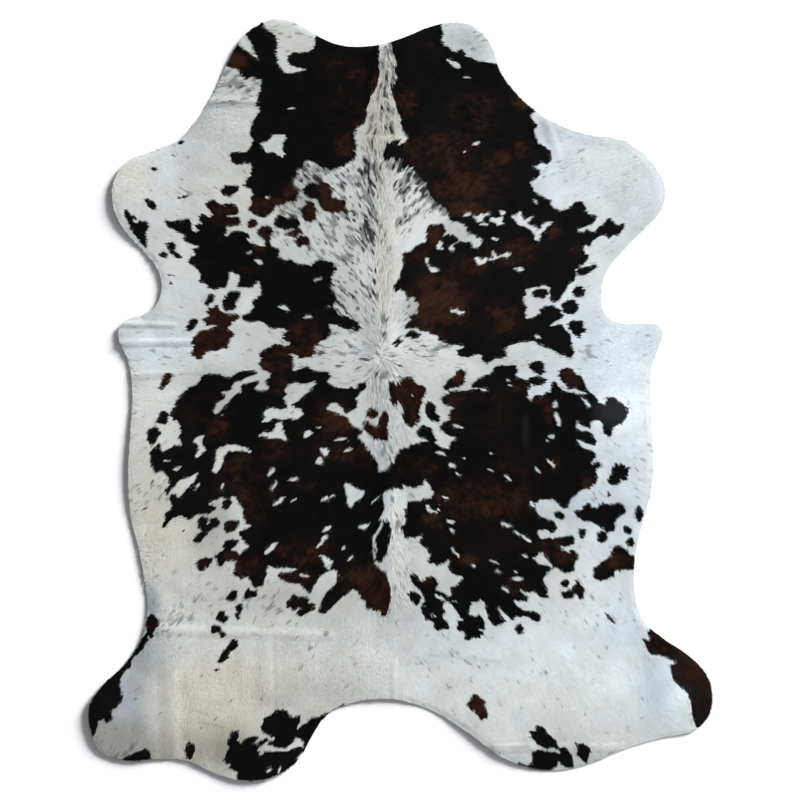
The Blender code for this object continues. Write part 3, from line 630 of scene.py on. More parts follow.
        "335,300,20,30,0.25 340,355,24,16,-0.25 370,255,12,60,-0.35 140,395,26,20,-0.15 220,190,20,20,-0.2 "
        "500,358,22,12,0.3 460,395,20,18,0.3 640,410,40,80,-0.45 585,475,20,16,-0.35 396,545,9,60,-0.5 "
        "590,560,34,50,-0.25 560,655,90,50,-0.26 620,705,36,36,-0.3 450,670,40,40,-0.15 565,758,44,12,0.35 "
        "260,28,22,12,0.22 470,40,26,16,0.25 580,122,22,18,0.28 655,165,16,24,-0.18 138,312,20,14,0.22 "
        "185,430,20,24,0.2 300,360,34,24,0.14 226,105,30,14,0.12 145,480,26,60,0.12 185,540,30,50,0.1 "
        "545,300,24,50,0.1 160,350,30,20,-0.25 215,350,20,20,-0.3 160,310,20,20,-0.25 250,310,20,16,-0.2 "
        "120,190,24,24,-0.2 220,270,20,20,-0.15 575,515,20,16,0.3 530,190,16,16,0.25 580,120,22,18,0.25 "
        "130,755,24,14,0.45 90,750,20,20,0.2 560,670,60,40,-0.2 600,600,30,30,-0.2 225,690,30,24,-0.15 "
        "375,712,20,8,0.3 135,690,12,30,0.3 655,690,16,24,0.3 88,757,24,18,0.8 258,752,20,10,0.2 "
        "110,720,20,20,-0.15 420,300,14,16,0.3 396,500,9,20,-0.2 300,310,20,16,-0.15 570,395,14,14,0.25 "
        "620,265,16,20,0.2 340,145,16,10,-0.2 384,150,8,8,0.3 384,210,10,80,0.22 "
        # greyer black, where the light catches it
        "615,410,22,16,-0.7 690,680,24,50,-0.8 525,430,6,30,-0.48 505,100,26,34,-0.22"
    ),
    # painted shade along fine press lines, which show darker, and painted light beside one: column, row,
    # column, row, half width, share
    "paintedCreaseShade": (
        "209,103.5,235,102.5,1.6,0.7 235,102.5,256,104,1.4,0.4 118,325.5,176,326.5,1.6,0.2 "
        "119,341.5,187,342,1.8,0.3 134,374.5,200,374,1.8,0.3 150,401,176,402,1.8,0.2 250,632,262,637,1.4,0.4 "
        "275,640,276,715,1.6,0.25 236,640,240,700,3.0,0.12 490,746.5,528,747,1.5,0.5 "
        "430,655,500,662,2.0,0.25 184,708,206,714,1.4,0.3 200,722,224,727,1.4,0.3 208,700,228,706,1.3,0.22 "
        "176,720,190,741,1.4,0.25 166,676,168,758,6,0.3 177,676,178,758,4,-0.3 600,326,656,325.5,2.2,0.2 "
        "540,118,548,142,2.0,0.3 549,116,560,140,2.0,0.22"
    ),
    # places whose small marks keep their edges: column, row, half width, half height, share
    "firm": (
        "375,424,24,26,1.0 462,235,30,18,0.5 232,612,30,52,0.6 166,382,10,14,0.9 228,385,46,28,0.4 "
        "582,268,16,12,0.7 574,300,18,18,0.5 328,602,18,16,0.6 378,534,12,24,0.8 572,590,18,14,0.6 "
        "404,400,20,32,0.4 432,425,18,24,0.6 520,630,8,8,0.6 610,618,10,10,0.8 224,528,26,30,0.4"
    ),
    "darkFleckShare": 0.8,       # how dark the thin dark strokes are
    "softening": (2, 4),         # passes over the dark field and the brown field
    # how soft the rims of the zones are, as a share of their size
    "zoneEdges": {"firm": 0.4, "brownZones": 0.7, "ticking": 0.6, "roan": 0.6, "tintsAndCoolShade": 0.8, "paintedShadeAndTone": 0.8},
    "lobes": 2.8 * mm,           # rounded lobes along every edge
    "raggedAlong": 1.8 * mm,     # how far the tufts carry an edge along the hair
    "raggedOnBack": 10 * mm,     # the same in the long hair by the spine
    "backReach": (60 * mm, 190 * mm),
    "backRows": (430, 490),      # edges by the spine get less ragged between these rows
    "belowBack": 0.2,            # how far they still are so below them, as a share
    "speckle": 0.5 * mm,
    "edge": (0.30, 0.56),        # values of the dark field where the edge of a patch ends
    "brownFade": (0.0, 0.3),     # the mottle comes in between these shares of brown
    "zoneMottle": 0.55,
    "brownShape": (0.6, 0.4),    # even brown and mottled brown in the brown outlines
    # noise drawn out along the hair: strength, width in mm, length in mm, seed
    "streaks": {
        "fine edge": (1, 4.5, 30, 11), "broad edge": (1, 7, 40, 26), "brown": (0.36, 5, 18, 22),
        "fine tick": (1, 5, 16, 15), "broad tick": (1, 5.5, 19, 23), "blotch": (1, 9, 26, 29),
        "tint": (0.10, 12, 60, 18), "tone": (0.2, 4, 30, 19),
    },
    # round noise: strength, width in mm, seed
    "clouds": {
        "lobes across": (1, 13, 12), "lobes up": (1, 13, 21), "broad brown": (0.40, 42, 31),
        "middle brown": (0.34, 20, 13), "fine brown": (0.40, 9, 14), "fine tick": (0.5, 21, 16),
        "broad tick": (0.35, 14, 24), "blotch": (0.5, 18, 30), "tint": (0.14, 110, 17),
        "shade": (0.10, 40, 27), "press line": (1.2 * mm, 20, 28), "broad tone": (0.16, 48, 20),
        "fine tone": (0.14, 15, 25),
    },
    # ticking from noise and zone: strength, low and high end, threshold, weight of the zone
    "tickSteps": {
        "fine": (0.6, 0.0, 0.7, 1.10, 1.6), "broad": (0.95, 0.25, 0.85, 0.75, 1.5),
        "dark": (0.8, 0.75, 1.15, 0.75, 1.5), "blotch": (0.7, 0.1, 0.9, 0.65, 1.3),
    },
    "roanFade": (0.02, 0.2),     # grey strokes come in between these shares of roan
    "darkRoanFade": (0.1, 0.3),
    "evenTint": 0.45,            # between bluish (0) and cream (1), where no zone changes it
    "pressSpread": 1.8,          # reach of the painted shade of a press line against its half width
}


def zoneShare(text, x, y, edge, added):
    # the strongest of soft ovals, or all of them added
    total = np.zeros_like(x)
    for column, row, wide, high, share in rowsOf(text):
        middleX, middleY = place(column, row)
        reach = np.hypot((x - middleX) / (wide * chart["square"]), (y - middleY) / (high * chart["square"]))
        value = share * (1 - smooth(1 - edge, 1 + edge, reach))
        total = total + value if added else np.maximum(total, value)
    return total


def softened(field, passes):
    for _ in range(passes):
        for axis in (0, 1):
            field = (np.roll(field, 1, axis) + 2 * field + np.roll(field, -1, axis)) / 4
    return field


def drawMarkings():
    # later groups are drawn over the earlier ones
    dark, brown = emptyField(), emptyField()
    groups = (("dark", None, 1), ("darkSpots", ovalOf, 1), ("white", None, 0),
              ("darkInWhite", ovalOf, 1), ("darkFlecks", tuftOf, markings["darkFleckShare"]),
              ("brown", None, 1), ("brownSpots", ovalOf, 1), ("flecks", tuftOf, 0))
    for group, shapeOf, value in groups:
        if shapeOf:
            outlines = [shapeOf(*row) for row in rowsOf(markings[group])]
        else:
            outlines = [outlineOf(text) for text in markings[group].values()]
        for outline in outlines:
            fillShape(dark, outline, value)
            if group.startswith("brown"):
                fillShape(brown, outline, value)
    darkPasses, brownPasses = markings["softening"]
    return softened(dark, darkPasses), softened(brown, brownPasses)


darkField, brownField = drawMarkings()
print("stage: markings drawn,", int(darkField.sum()), "dark cells")


def ticked(grain, zone, strength, low, high, threshold, weight):
    return strength * smooth(low, high, grain - threshold + weight * zone)


def coatMarks(x, y, alongX, alongY, away, seed):
    # the marks of hair seen at x, y: dark, brown, ticked, cream against bluish, shaded (painted shade and
    # painted light), and its own tone
    def drawnOut(name):
        strength, width, length, number = markings["streaks"][name]
        return strength * streaks(x, y, alongX, alongY, width * mm, length * mm, number)

    def cloud(name):
        strength, width, number = markings["clouds"][name]
        return strength * valueNoise(x, y, width * mm, number)

    def zone(name, added=False):
        return zoneShare(markings[name], x, y, markings["zoneEdges"][name], added)

    # tufts carry the edges along the hair, farther in the long hair of the back
    speckle = np.random.default_rng(seed).normal(0, markings["speckle"], (2, len(x)))
    lowBack, highBack = [float(place(0, row)[1]) for row in markings["backRows"][::-1]]
    byBack = 1 - smooth(*markings["backReach"], away)
    byBack = byBack * (markings["belowBack"] + (1 - markings["belowBack"]) * smooth(lowBack, highBack, y))
    ragged = markings["raggedAlong"] + (markings["raggedOnBack"] - markings["raggedAlong"]) * byBack
    firm = 1 - zone("firm")
    carry = (drawnOut("fine edge") * (1 - byBack) + drawnOut("broad edge") * byBack) * ragged * firm
    lobes = markings["lobes"] * firm
    atX = x + alongX * carry + lobes * cloud("lobes across") + speckle[0]
    atY = y + alongY * carry + lobes * cloud("lobes up") + speckle[1]
    dark = smooth(*markings["edge"], lookUp(darkField, atX, atY))

    mottle = cloud("broad brown") + cloud("middle brown") + cloud("fine brown") + drawnOut("brown")
    brownZone = zone("brownZones")
    brown = brownZone + markings["zoneMottle"] * mottle * smooth(*markings["brownFade"], brownZone)
    even, mottled = markings["brownShape"]
    brown = np.maximum(brown, lookUp(brownField, atX, atY) * (even + mottled * mottle))

    # ticking: grey strokes, broader and darker by the back
    steps, roan = markings["tickSteps"], zone("roan")
    fine = drawnOut("fine tick") + cloud("fine tick")
    broad = drawnOut("broad tick") + cloud("broad tick")
    blotches = drawnOut("blotch") + cloud("blotch")
    byRoan = smooth(*markings["roanFade"], roan)
    tick = ticked(fine, zone("ticking"), *steps["fine"])
    tick = np.maximum(tick, ticked(broad, roan, *steps["broad"]) * byRoan)
    tick = np.maximum(tick, ticked(blotches, roan, *steps["blotch"]) * byRoan)
    dark = np.maximum(dark, ticked(broad, roan, *steps["dark"]) * smooth(*markings["darkRoanFade"], roan))

    tint = markings["evenTint"] + 0.5 * (zone("tintsAndCoolShade", True) + cloud("tint")) + drawnOut("tint")
    # painted shade and painted light: soft zones, a faint cloud, and painted shade along the press lines
    shade = zone("paintedShadeAndTone", True) + cloud("shade")
    for column0, row0, column1, row1, halfWidth, share in rowsOf(markings["paintedCreaseShade"]):
        (x0, x1), (y0, y1) = place((column0, column1), (row0, row1))
        distance = toLine(x, y, x0, y0, x1, y1)[0] + cloud("press line")
        shade = shade + share * softHump(distance, markings["pressSpread"] * halfWidth * chart["square"])
    shade = 0.5 + 0.5 * shade
    tone = 0.5 + drawnOut("tone") + cloud("broad tone") + cloud("fine tone")
    marks = {"dark": dark, "brown": brown, "tick": tick, "tint": tint, "shade": shade, "tone": tone}
    return {name: np.clip(values, 0, 1).astype(np.float32) for name, values in marks.items()}


# The look of the hair and of the flesh side.
coatLook = {
    "bluishWhite": (0.735, 0.815, 0.865, 1),
    "creamWhite": (0.700, 0.672, 0.578, 1),
    "black": (0.0012, 0.0015, 0.0015, 1),
    "greyBlack": (0.0045, 0.0046, 0.0044, 1),
    # painted sheen on black hair
    "sheenBlack": (0.026, 0.028, 0.034, 1),
    "brown": (0.0100, 0.0052, 0.0040, 1),
    "lightBrown": (0.037, 0.0145, 0.0078, 1),
    "tickGrey": (0.040, 0.040, 0.043, 1),
    "tickStrength": 0.86,
    "whiteShade": 0.82,             # tone of the shaded strands against the lit ones
    "shaded": (1.50, 0.50),         # how much lighter or darker the painted shade and painted light make the white
    "sheenBelow": 0.32,              # painted sheen: black hair starts to pale where the shade falls below this
    "brownFrom": (0, 0.6),          # shares of brown where it starts and is full
    "lightFrom": (0.3, 1.1),        # the same for light brown
    "brownTone": (0.15, 0.85, 0.7, 1.25),
    "grain": (0.93, 1.04),
    "grainNoise": (420, 2.0),       # scale of the noise, detail
    "roughness": (0.45, 0.62),
    "roughnessNoise": (60, 3.0),
    "cloudEnds": (0.3, 0.7),        # values of that noise where the roughness ends
    "specular": 0.06,
    "bumpNoise": (900, 2.0),
    "bump": (0.2, 0.3 * mm),        # strength, depth
}
leatherLook = {
    "suede": (0.52, 0.40, 0.27, 1),
    "paleSuede": (0.66, 0.56, 0.43, 1),
    "suedeNoise": (9, 5.0),
    "roughness": (0.78, 0.95),
    "roughnessNoise": (40, 3.0),
    "cloudEnds": (0.3, 0.7),
    "specular": 0.2,
    "bumpNoise": (700, 4.0),
    "bump": (0.5, 0.5 * mm),
}


def newMaterial(name):
    material = bpy.data.materials.new(name)
    material.use_nodes = True
    nodes, links = material.node_tree.nodes, material.node_tree.links
    return material, nodes, links, nodes["Principled BSDF"]


def attribute(nodes, name):
    node = nodes.new("ShaderNodeAttribute")
    node.attribute_name = name
    return node.outputs["Fac"]


def mixed(nodes, links, share, a, b, blend="MIX"):
    node = nodes.new("ShaderNodeMix")
    node.data_type = "RGBA"
    node.blend_type = blend
    for name, value in (("Factor", share), ("A", a), ("B", b)):
        if hasattr(value, "is_linked"):
            links.new(value, node.inputs[name])
        else:
            node.inputs[name].default_value = value
    return node.outputs["Result"]


def ranged(nodes, links, value, low, high, newLow, newHigh):
    node = nodes.new("ShaderNodeMapRange")
    for name, number in (("From Min", low), ("From Max", high), ("To Min", newLow), ("To Max", newHigh)):
        node.inputs[name].default_value = number
    links.new(value, node.inputs["Value"])
    return node.outputs["Result"]


def noiseOf(nodes, links, scale, detail):
    node = nodes.new("ShaderNodeTexNoise")
    node.inputs["Scale"].default_value = scale
    node.inputs["Detail"].default_value = detail
    links.new(nodes.new("ShaderNodeTexCoord").outputs["Object"], node.inputs["Vector"])
    return node.outputs["Fac"]


def addSurface(nodes, links, shader, look):
    # what hair and leather share: cloudy roughness, weak reflection, a fine bump
    cloud = noiseOf(nodes, links, *look["roughnessNoise"])
    links.new(ranged(nodes, links, cloud, *look["cloudEnds"], *look["roughness"]), shader.inputs["Roughness"])
    shader.inputs["Specular IOR Level"].default_value = look["specular"]
    bump = nodes.new("ShaderNodeBump")
    bump.inputs["Strength"].default_value, bump.inputs["Distance"].default_value = look["bump"]
    links.new(noiseOf(nodes, links, *look["bumpNoise"]), bump.inputs["Height"])
    links.new(bump.outputs["Normal"], shader.inputs["Normal"])


def grey(value):
    return value, value, value, 1


def coatMaterial(name):
    material, nodes, links, shader = newMaterial(name)
    look = coatLook
    marks = {mark: attribute(nodes, mark) for mark in ("dark", "brown", "tick", "tint", "shade", "tone")}

    def between(share, a, b):
        return mixed(nodes, links, share, a, b)

    def times(colour, factor):
        return mixed(nodes, links, 1.0, colour, factor, "MULTIPLY")

    def scaled(value, low, high, newLow=0, newHigh=1):
        return ranged(nodes, links, value, low, high, newLow, newHigh)

    lighter, darker = look["shaded"]
    white = between(marks["tint"], look["bluishWhite"], look["creamWhite"])
    white = times(white, between(marks["tone"], grey(look["whiteShade"]), grey(1)))
    # painted shade and painted light on the white hair
    white = times(white, between(marks["shade"], grey(lighter), grey(darker)))
    white = between(scaled(marks["tick"], 0, 1, 0, look["tickStrength"]), white, look["tickGrey"])
    black = between(marks["tone"], look["black"], look["greyBlack"])
    # painted sheen: greyer black where the shade mark is low
    black = between(scaled(marks["shade"], look["sheenBelow"], 0), black, look["sheenBlack"])
    brown = between(scaled(marks["brown"], *look["lightFrom"]), look["brown"], look["lightBrown"])
    brown = times(brown, scaled(marks["tone"], *look["brownTone"]))
    dark = between(scaled(marks["brown"], *look["brownFrom"]), black, brown)
    coat = between(marks["dark"], white, dark)
    low, high = look["grain"]
    coat = times(coat, between(noiseOf(nodes, links, *look["grainNoise"]), grey(low), grey(high)))
    links.new(coat, shader.inputs["Base Color"])
    addSurface(nodes, links, shader, look)
    return material


def leatherMaterial(name):
    material, nodes, links, shader = newMaterial(name)
    cloud = noiseOf(nodes, links, *leatherLook["suedeNoise"])
    suede = mixed(nodes, links, cloud, leatherLook["suede"], leatherLook["paleSuede"])
    links.new(suede, shader.inputs["Base Color"])
    addSurface(nodes, links, shader, leatherLook)
    return material


hairMaterial = coatMaterial("hairOnHide")
fleshMaterial = leatherMaterial("suedeFleshSide")


# The hide: leather with its dense under hair, on the CAD sheet's folds.
sheetSizes = {
    "drawnIn": 4 * mm,         # the guard hair covers the rim, so the sheet's rim is drawn in
    "drawnInReach": 30 * mm,
    "rimStep": 6 * mm,
    "weld": 0.01 * mm,
    "cuts": 3,
    "cadTop": 3.4 * mm,        # what stands so high over the underside in the CAD is the top
    "downward": -0.8,          # faces of the underside look down more than this
    "sideways": 0.6,           # and the faces of the edge less up or down than this
    "upward": 0.5,             # faces that look up more than this have hair on them
    "smoothTo": 50,            # degrees
    "seed": 30,
    "block": 4000,             # places that are compared with the rim at once
}


def addAttribute(mesh, name, values):
    layer = mesh.attributes.new(name, "FLOAT", "POINT")
    layer.data.foreach_set("value", np.ascontiguousarray(values, np.float32))


def planarMap(mesh, low, high):
    # one flat map from above, stretched over the piece's own box
    layer = mesh.uv_layers.new(name="OFBake")
    corners = np.empty(len(mesh.loops), np.int32)
    mesh.loops.foreach_get("vertex_index", corners)
    places = np.empty(len(mesh.vertices) * 3, np.float32)
    mesh.vertices.foreach_get("co", places)
    flat = (places.reshape(-1, 3)[corners, :2] - low) / (np.asarray(high) - low)
    layer.data.foreach_set("uv", np.ascontiguousarray(flat, np.float32).ravel())


def shapeArea(points):
    nextPoints = np.roll(points, -1, axis=0)
    return float((points[:, 0] * nextPoints[:, 1] - nextPoints[:, 0] * points[:, 1]).sum() / 2)


def rimLoop(mesh):
    # the closed line where the hide's edge meets its underside, anticlockwise from above
    topology = bmesh.new()
    topology.from_mesh(mesh)
    topology.normal_update()
    neighbours = {}
    for edge in topology.edges:
        tilts = sorted(face.normal.z for face in edge.link_faces)
        if len(tilts) == 2 and tilts[0] < sheetSizes["downward"] and abs(tilts[1]) < sheetSizes["sideways"]:
            a, b = edge.verts
            neighbours.setdefault(a.index, []).append(b.index)
            neighbours.setdefault(b.index, []).append(a.index)
    topology.verts.ensure_lookup_table()
    start = min(neighbours)
    loop, last, here = [start], None, start
    while True:
        onwards = [vertex for vertex in neighbours[here] if vertex != last]
        if not onwards or onwards[0] == start:
            break
        last, here = here, onwards[0]
        loop.append(here)
    points = np.array([topology.verts[vertex].co[:2] for vertex in loop])
    topology.free()
    return points[::-1] if shapeArea(points) < 0 else points


def evenLoop(points, step):
    # points at even steps along a closed line, and their inward normals
    closed = np.vstack([points, points[:1]])
    along = np.concatenate([[0], np.cumsum(np.hypot(*np.diff(closed, axis=0).T))])
    places = np.linspace(0, along[-1], int(round(along[-1] / step)), endpoint=False)
    even = np.column_stack([np.interp(places, along, closed[:, 0]), np.interp(places, along, closed[:, 1])])
    ahead = np.roll(even, -2, axis=0) - np.roll(even, 2, axis=0)
    ahead /= np.hypot(*ahead.T)[:, None]
    return even, np.column_stack([-ahead[:, 1], ahead[:, 0]])


def nearestRim(x, y, rim):
    # distance to the nearest point of the rim, and that point's number
    distance, nearest = np.zeros(len(x)), np.zeros(len(x), int)
    for start in range(0, len(x), sheetSizes["block"]):
        part = slice(start, start + sheetSizes["block"])
        gap = (x[part, None] - rim[:, 0]) ** 2 + (y[part, None] - rim[:, 1]) ** 2
        nearest[part] = gap.argmin(1)
        distance[part] = np.sqrt(gap[np.arange(gap.shape[0]), nearest[part]])
    return distance, nearest


def inEditMode(operation, **settings):
    bpy.ops.object.mode_set(mode="EDIT")
    bpy.ops.mesh.select_all(action="SELECT")
    operation(**settings)
    bpy.ops.mesh.select_all(action="DESELECT")
    bpy.ops.object.mode_set(mode="OBJECT")


def makeHide():
    bpy.ops.object.select_all(action="DESELECT")
    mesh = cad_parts["hide"].data.copy()
    mesh.name = "hideSheet"
    hide = bpy.data.objects.new("hideSheet", mesh)
    bpy.context.collection.objects.link(hide)
    bpy.context.view_layer.objects.active = hide
    hide.select_set(True)
    mesh.materials.clear()
    bpy.ops.mesh.customdata_custom_splitnormals_clear()
    inEditMode(bpy.ops.mesh.remove_doubles, threshold=sheetSizes["weld"])
    rimPoints = rimLoop(mesh)
    for layer in list(mesh.uv_layers):
        mesh.uv_layers.remove(layer)
    inEditMode(bpy.ops.mesh.subdivide, number_cuts=sheetSizes["cuts"])

    places = np.empty(len(mesh.vertices) * 3)
    mesh.vertices.foreach_get("co", places)
    places = places.reshape(-1, 3)
    x, y, z = places.T
    rim, inward = evenLoop(rimPoints, sheetSizes["rimStep"])
    topShare = np.clip((z - underside(x, y)) / sheetSizes["cadTop"], 0, 1)
    distance, nearest = nearestRim(x, y, rim)
    top = topHeight(x, y, smooth(0, relief["rimShoulder"], distance))
    pull = sheetSizes["drawnIn"] * np.clip(1 - distance / sheetSizes["drawnInReach"], 0, 1)
    places[:, 0] = x + inward[nearest, 0] * pull
    places[:, 1] = y + inward[nearest, 1] * pull
    places[:, 2] = underside(places[:, 0], places[:, 1]) + topShare * top
    mesh.vertices.foreach_set("co", places.ravel())
    mesh.update()
    mesh.shade_smooth()

    mesh.materials.append(fleshMaterial)
    mesh.materials.append(hairMaterial)
    normals = np.empty(len(mesh.polygons) * 3)
    mesh.polygons.foreach_get("normal", normals)
    upward = normals.reshape(-1, 3)[:, 2] > sheetSizes["upward"]
    mesh.polygons.foreach_set("material_index", upward.astype(np.int32))
    direction = hairDirection(places[:, 0], places[:, 1])
    marks = coatMarks(places[:, 0], places[:, 1], *direction, sheetSizes["seed"])
    for name, values in marks.items():
        addAttribute(mesh, name, values)
    bpy.ops.object.shade_smooth_by_angle(angle=math.radians(sheetSizes["smoothTo"]))
    hide.select_set(False)
    return hide, rimPoints


hide, rimPoints = makeHide()


# Guard hair: short flat locks, shingled from the back outwards, one joined mesh for each band.
coatSizes = {
    "locks": 206000,
    "length": (10 * mm, 17 * mm),
    "width": (2.6 * mm, 3.8 * mm),
    "spineLength": (16 * mm, 25 * mm),
    "spineWidth": (2.2 * mm, 3.2 * mm),
    "spineReach": (10 * mm, 90 * mm),
    "spineEnd": (-0.70, -0.55),        # metres: the long hair ends between these places along the hide
    "rise": (0.8 * mm, 1.5 * mm),      # height of the tip over the under hair
    "riseShares": (0.6, 1.4),          # of it, on short hair and along the back
    "rimRise": 0.55,                   # share of the rise that is left at the rim
    "overhang": (1.8 * mm, 3.8 * mm),  # past the drawn in rim
    "leastOutwards": 0.05,             # keeps locks along the rim from being cut by a division by 0
    "shortest": 3 * mm,
    "lean": 9,                         # degrees a lock strays from the flow
    "scatter": 0.48,                   # steps a root strays from its even place
    "rootDepth": 0.35 * mm,
    "middle": 0.6,                     # where along a lock its marks and its ground are read
    "widest": (0.46, 0.72),            # shares of the length and of the rise where a lock is widest
    "belly": 0.15,                     # sideways lean of the normals, which rounds each lock
    "roll": 0.05,                      # how much locks are rolled to one side
    "flatter": 0.35,                   # share of belly and roll on short hair
    "rootLean": -0.12,                 # lean of the normals along the lock at its root and its tip
    "tipLean": 0.08,
    "slopeStep": 3 * mm,               # the ground's slope is read so far to each side
    "seeds": {"roots": 7, "locks": 9, "marks": 31},
}
bandNames = ("neckCoat", "shoulderCoat", "barrelCoat", "flankCoat", "rumpCoat")
lockFaces = np.array([[0, 2, 1], [1, 2, 3], [0, 1, 3], [0, 3, 2]])     # root, left, right and tip


def placeRoots(rim):
    inside = emptyField()
    fillShape(inside, rim, 1)
    step = math.sqrt(shapeArea(rim) / coatSizes["locks"])
    dice = np.random.default_rng(coatSizes["seeds"]["roots"])
    columns, rows = [np.arange(-size / 2, size / 2, step) for size in chart["size"]]
    x, y = [grid.ravel() for grid in np.meshgrid(columns, rows)]
    scatter = coatSizes["scatter"]
    x = x + dice.uniform(-scatter, scatter, len(x)) * step
    y = y + dice.uniform(-scatter, scatter, len(y)) * step
    keep = lookUp(inside, x, y) > 0.5
    return x[keep], y[keep]


def makeLocks():
    sizes = coatSizes
    rim, inward = evenLoop(rimPoints, sheetSizes["rimStep"])
    drawnRim = rim + inward * sheetSizes["drawnIn"]
    rootX, rootY = placeRoots(drawnRim)
    count = len(rootX)
    dice = np.random.default_rng(sizes["seeds"]["locks"])
    dirX, dirY, away = hairDirection(rootX, rootY)
    lean = np.radians(dice.normal(0, sizes["lean"], count))
    dirX, dirY = dirX * np.cos(lean) - dirY * np.sin(lean), dirX * np.sin(lean) + dirY * np.cos(lean)
    onSpine = (1 - smooth(*sizes["spineReach"], away)) * smooth(*sizes["spineEnd"], rootY)

    def drawn(name):
        return dice.uniform(*sizes[name], count)

    def blended(name, spineName):
        return drawn(name) * (1 - onSpine) + drawn(spineName) * onSpine

    length = blended("length", "spineLength")
    width = blended("width", "spineWidth")
    shortRise, spineRise = sizes["riseShares"]
    rise = drawn("rise") * (shortRise + (spineRise - shortRise) * onSpine)

    # locks near the rim are lower, and cut to end just past it
    distance, nearest = nearestRim(rootX, rootY, drawnRim)
    outwards = -(dirX * inward[nearest, 0] + dirY * inward[nearest, 1])
    room = (distance + drawn("overhang")) / np.clip(outwards, sizes["leastOutwards"], 1)
    length = np.clip(np.minimum(length, room), sizes["shortest"], None)
    rise = rise * (sizes["rimRise"] + (1 - sizes["rimRise"]) * smooth(0, relief["rimShoulder"], distance))

    def groundAt(x, y, share):
        fromRim = distance - outwards * length * share
        return underside(x, y) + topHeight(x, y, smooth(0, relief["rimShoulder"], fromRim))

    def point(share, aside, lift):
        x = rootX + dirX * length * share - dirY * width * aside
        y = rootY + dirY * length * share + dirX * width * aside
        return np.column_stack([x, y, groundAt(x, y, share) + lift])

    widest, widestRise = sizes["widest"]
    points = np.stack([point(0.0, 0.0, -sizes["rootDepth"]), point(widest, 0.5, rise * widestRise),
                       point(widest, -0.5, rise * widestRise), point(1.0, 0.0, rise)], axis=1)

    # normals follow the ground, rounded across each lock
    middle, step = sizes["middle"], sizes["slopeStep"]
    middleX, middleY = rootX + dirX * length * middle, rootY + dirY * length * middle
    riseX = groundAt(middleX + step, middleY, middle) - groundAt(middleX - step, middleY, middle)
    riseY = groundAt(middleX, middleY + step, middle) - groundAt(middleX, middleY - step, middle)
    flat = np.zeros(count)
    ground = np.column_stack([-riseX / (2 * step), -riseY / (2 * step), flat + 1])
    aside = np.column_stack([-dirY, dirX, flat])
    along = np.column_stack([dirX, dirY, flat])
    rounding = (sizes["flatter"] + (1 - sizes["flatter"]) * onSpine)[:, None]
    roll = dice.normal(0, sizes["roll"], (count, 1)) * rounding
    belly = sizes["belly"] * rounding
    rootNormal = ground + along * sizes["rootLean"] + aside * roll
    tipNormal = ground + along * sizes["tipLean"] + aside * roll
    sides = [ground + aside * (belly + roll), ground - aside * (belly - roll)]
    normals = np.stack([rootNormal, *sides, tipNormal], axis=1)
    normals /= np.linalg.norm(normals, axis=2, keepdims=True)
    return points, normals, coatMarks(middleX, middleY, dirX, dirY, away, sizes["seeds"]["marks"]), middleY


def makeBand(name, points, normals, marks):
    count = len(points)
    mesh = bpy.data.meshes.new(name)
    faces = (lockFaces[None] + 4 * np.arange(count)[:, None, None]).reshape(-1, 3).astype(np.int32)
    mesh.vertices.add(count * 4)
    mesh.vertices.foreach_set("co", np.ascontiguousarray(points, np.float32).ravel())
    mesh.loops.add(len(faces) * 3)
    mesh.loops.foreach_set("vertex_index", faces.ravel())
    mesh.polygons.add(len(faces))
    mesh.polygons.foreach_set("loop_start", np.arange(len(faces), dtype=np.int32) * 3)
    mesh.update(calc_edges=True)
    mesh.shade_smooth()
    mesh.normals_split_custom_set_from_vertices(normals.reshape(-1, 3).astype(np.float32))
    for mark, values in marks.items():
        addAttribute(mesh, mark, np.repeat(values, 4))
    flat = points.reshape(-1, 3)[:, :2]
    planarMap(mesh, flat.min(0), flat.max(0))
    mesh.materials.append(hairMaterial)
    band = bpy.data.objects.new(name, mesh)
    bpy.context.collection.objects.link(band)
    return band


lockPoints, lockNormals, lockMarks, lockRows = makeLocks()
order = np.argsort(-lockRows, kind="stable")
bands = []
for name, part in zip(bandNames, np.array_split(order, len(bandNames))):
    marks = {mark: values[part] for mark, values in lockMarks.items()}
    bands.append(makeBand(name, lockPoints[part], lockNormals[part], marks))
print("stage: coat,", len(order), "locks in", len(bands), "bands")

for band in bands:
    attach(band, "root")
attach(hide, "root")
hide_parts("hide")

stage = {
    "floorRadius": 40.0,
    "floorColour": (0.93, 0.935, 0.94, 1),
    "floorCorners": 96,
    "floorClouds": 0.99,           # share of its colour that is left in the floor's faint clouds
    "floorNoise": (3, 2.0),
    "floorRoughness": 0.9,
    "floorSpecular": 0.1,
    "worldColour": (0.93, 0.95, 1.0, 1),
    "worldStrength": 0.165,
    "horizonStrength": 0.95,       # a pale band low down, which fades out between these heights
    "horizonHeight": (0.16, 0.42),
    "keyTurn": 42,                 # degrees from the right, anticlockwise from above
    "keyHeight": 17,               # degrees above the floor
    "keyStrength": 8.9,
    "keySoftness": 17,
    "fillPlace": (4.2, 1.2, 3.6),
    "fillSize": 3.0,
    "fillPower": 34,
    "cameraPlace": (-1.5 * mm, -1.5 * mm, 7.2),   # half a square beside the middle, as in the photo
    "view": 2.4,                   # metres across the frame at the floor
    "farthest": 200,
}


def aimed(x, y, z):
    # turns a lamp at this place towards the middle of the hide
    return math.atan2(math.hypot(x, y), z), 0, math.atan2(y, x) + math.pi / 2


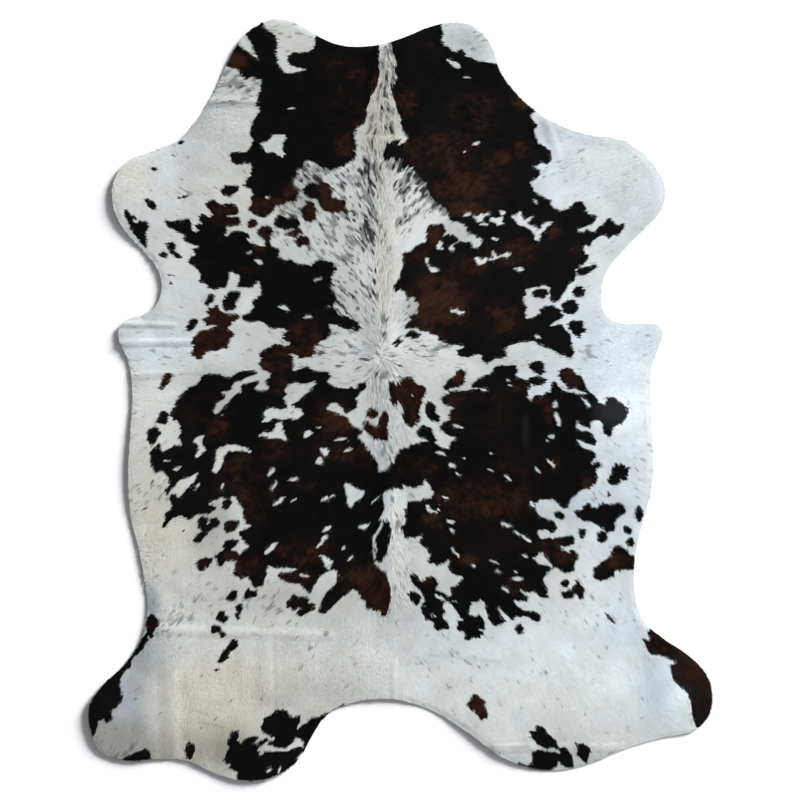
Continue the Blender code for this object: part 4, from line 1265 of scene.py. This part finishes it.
def makeFloor():
    bpy.ops.object.select_all(action="DESELECT")
    bpy.ops.mesh.primitive_circle_add(vertices=stage["floorCorners"], radius=stage["floorRadius"],
                                      fill_type="NGON", location=(0, 0, 0))
    floor = bpy.context.object
    floor.name = "floor"
    material, nodes, links, shader = newMaterial("paleFloor")
    clouded = tuple(part * stage["floorClouds"] for part in stage["floorColour"][:3]) + (1,)
    cloud = noiseOf(nodes, links, *stage["floorNoise"])
    links.new(mixed(nodes, links, cloud, stage["floorColour"], clouded), shader.inputs["Base Color"])
    shader.inputs["Roughness"].default_value = stage["floorRoughness"]
    shader.inputs["Specular IOR Level"].default_value = stage["floorSpecular"]
    floor.data.materials.append(material)


def makeWorld():
    world = bpy.data.worlds.new("softStudio")
    bpy.context.scene.world = world
    world.use_nodes = True
    nodes, links = world.node_tree.nodes, world.node_tree.links
    background = nodes["Background"]
    background.inputs["Color"].default_value = stage["worldColour"]
    heights = nodes.new("ShaderNodeSeparateXYZ")
    links.new(nodes.new("ShaderNodeTexCoord").outputs["Generated"], heights.inputs["Vector"])
    glow = ranged(nodes, links, heights.outputs["Z"], *stage["horizonHeight"], stage["horizonStrength"],
                  stage["worldStrength"])
    links.new(glow, background.inputs["Strength"])


def makeLamps():
    key = bpy.data.lights.new("keyLight", "SUN")
    key.energy = stage["keyStrength"]
    key.angle = math.radians(stage["keySoftness"])
    keyLamp = bpy.data.objects.new("keyLight", key)
    turn, height = math.radians(stage["keyTurn"]), math.radians(stage["keyHeight"])
    level = math.cos(height)
    keyLamp.rotation_euler = aimed(math.cos(turn) * level, math.sin(turn) * level, math.sin(height))
    fill = bpy.data.lights.new("fillLight", "AREA")
    fill.shape = "DISK"
    fill.size = stage["fillSize"]
    fill.energy = stage["fillPower"]
    fillLamp = bpy.data.objects.new("fillLight", fill)
    fillLamp.location = stage["fillPlace"]
    fillLamp.rotation_euler = aimed(*stage["fillPlace"])
    for lamp in (keyLamp, fillLamp):
        bpy.context.collection.objects.link(lamp)


def makeCamera():
    lens = bpy.data.cameras.new("fromAbove")
    lens.lens = lens.sensor_width * stage["cameraPlace"][2] / stage["view"]
    lens.clip_end = stage["farthest"]
    camera = bpy.data.objects.new("fromAbove", lens)
    camera.location = stage["cameraPlace"]
    bpy.context.collection.objects.link(camera)
    bpy.context.scene.camera = camera
    bpy.context.scene.view_settings.view_transform = "Standard"


makeFloor()
makeWorld()
makeLamps()
makeCamera()
print("stage: floor, light and camera")
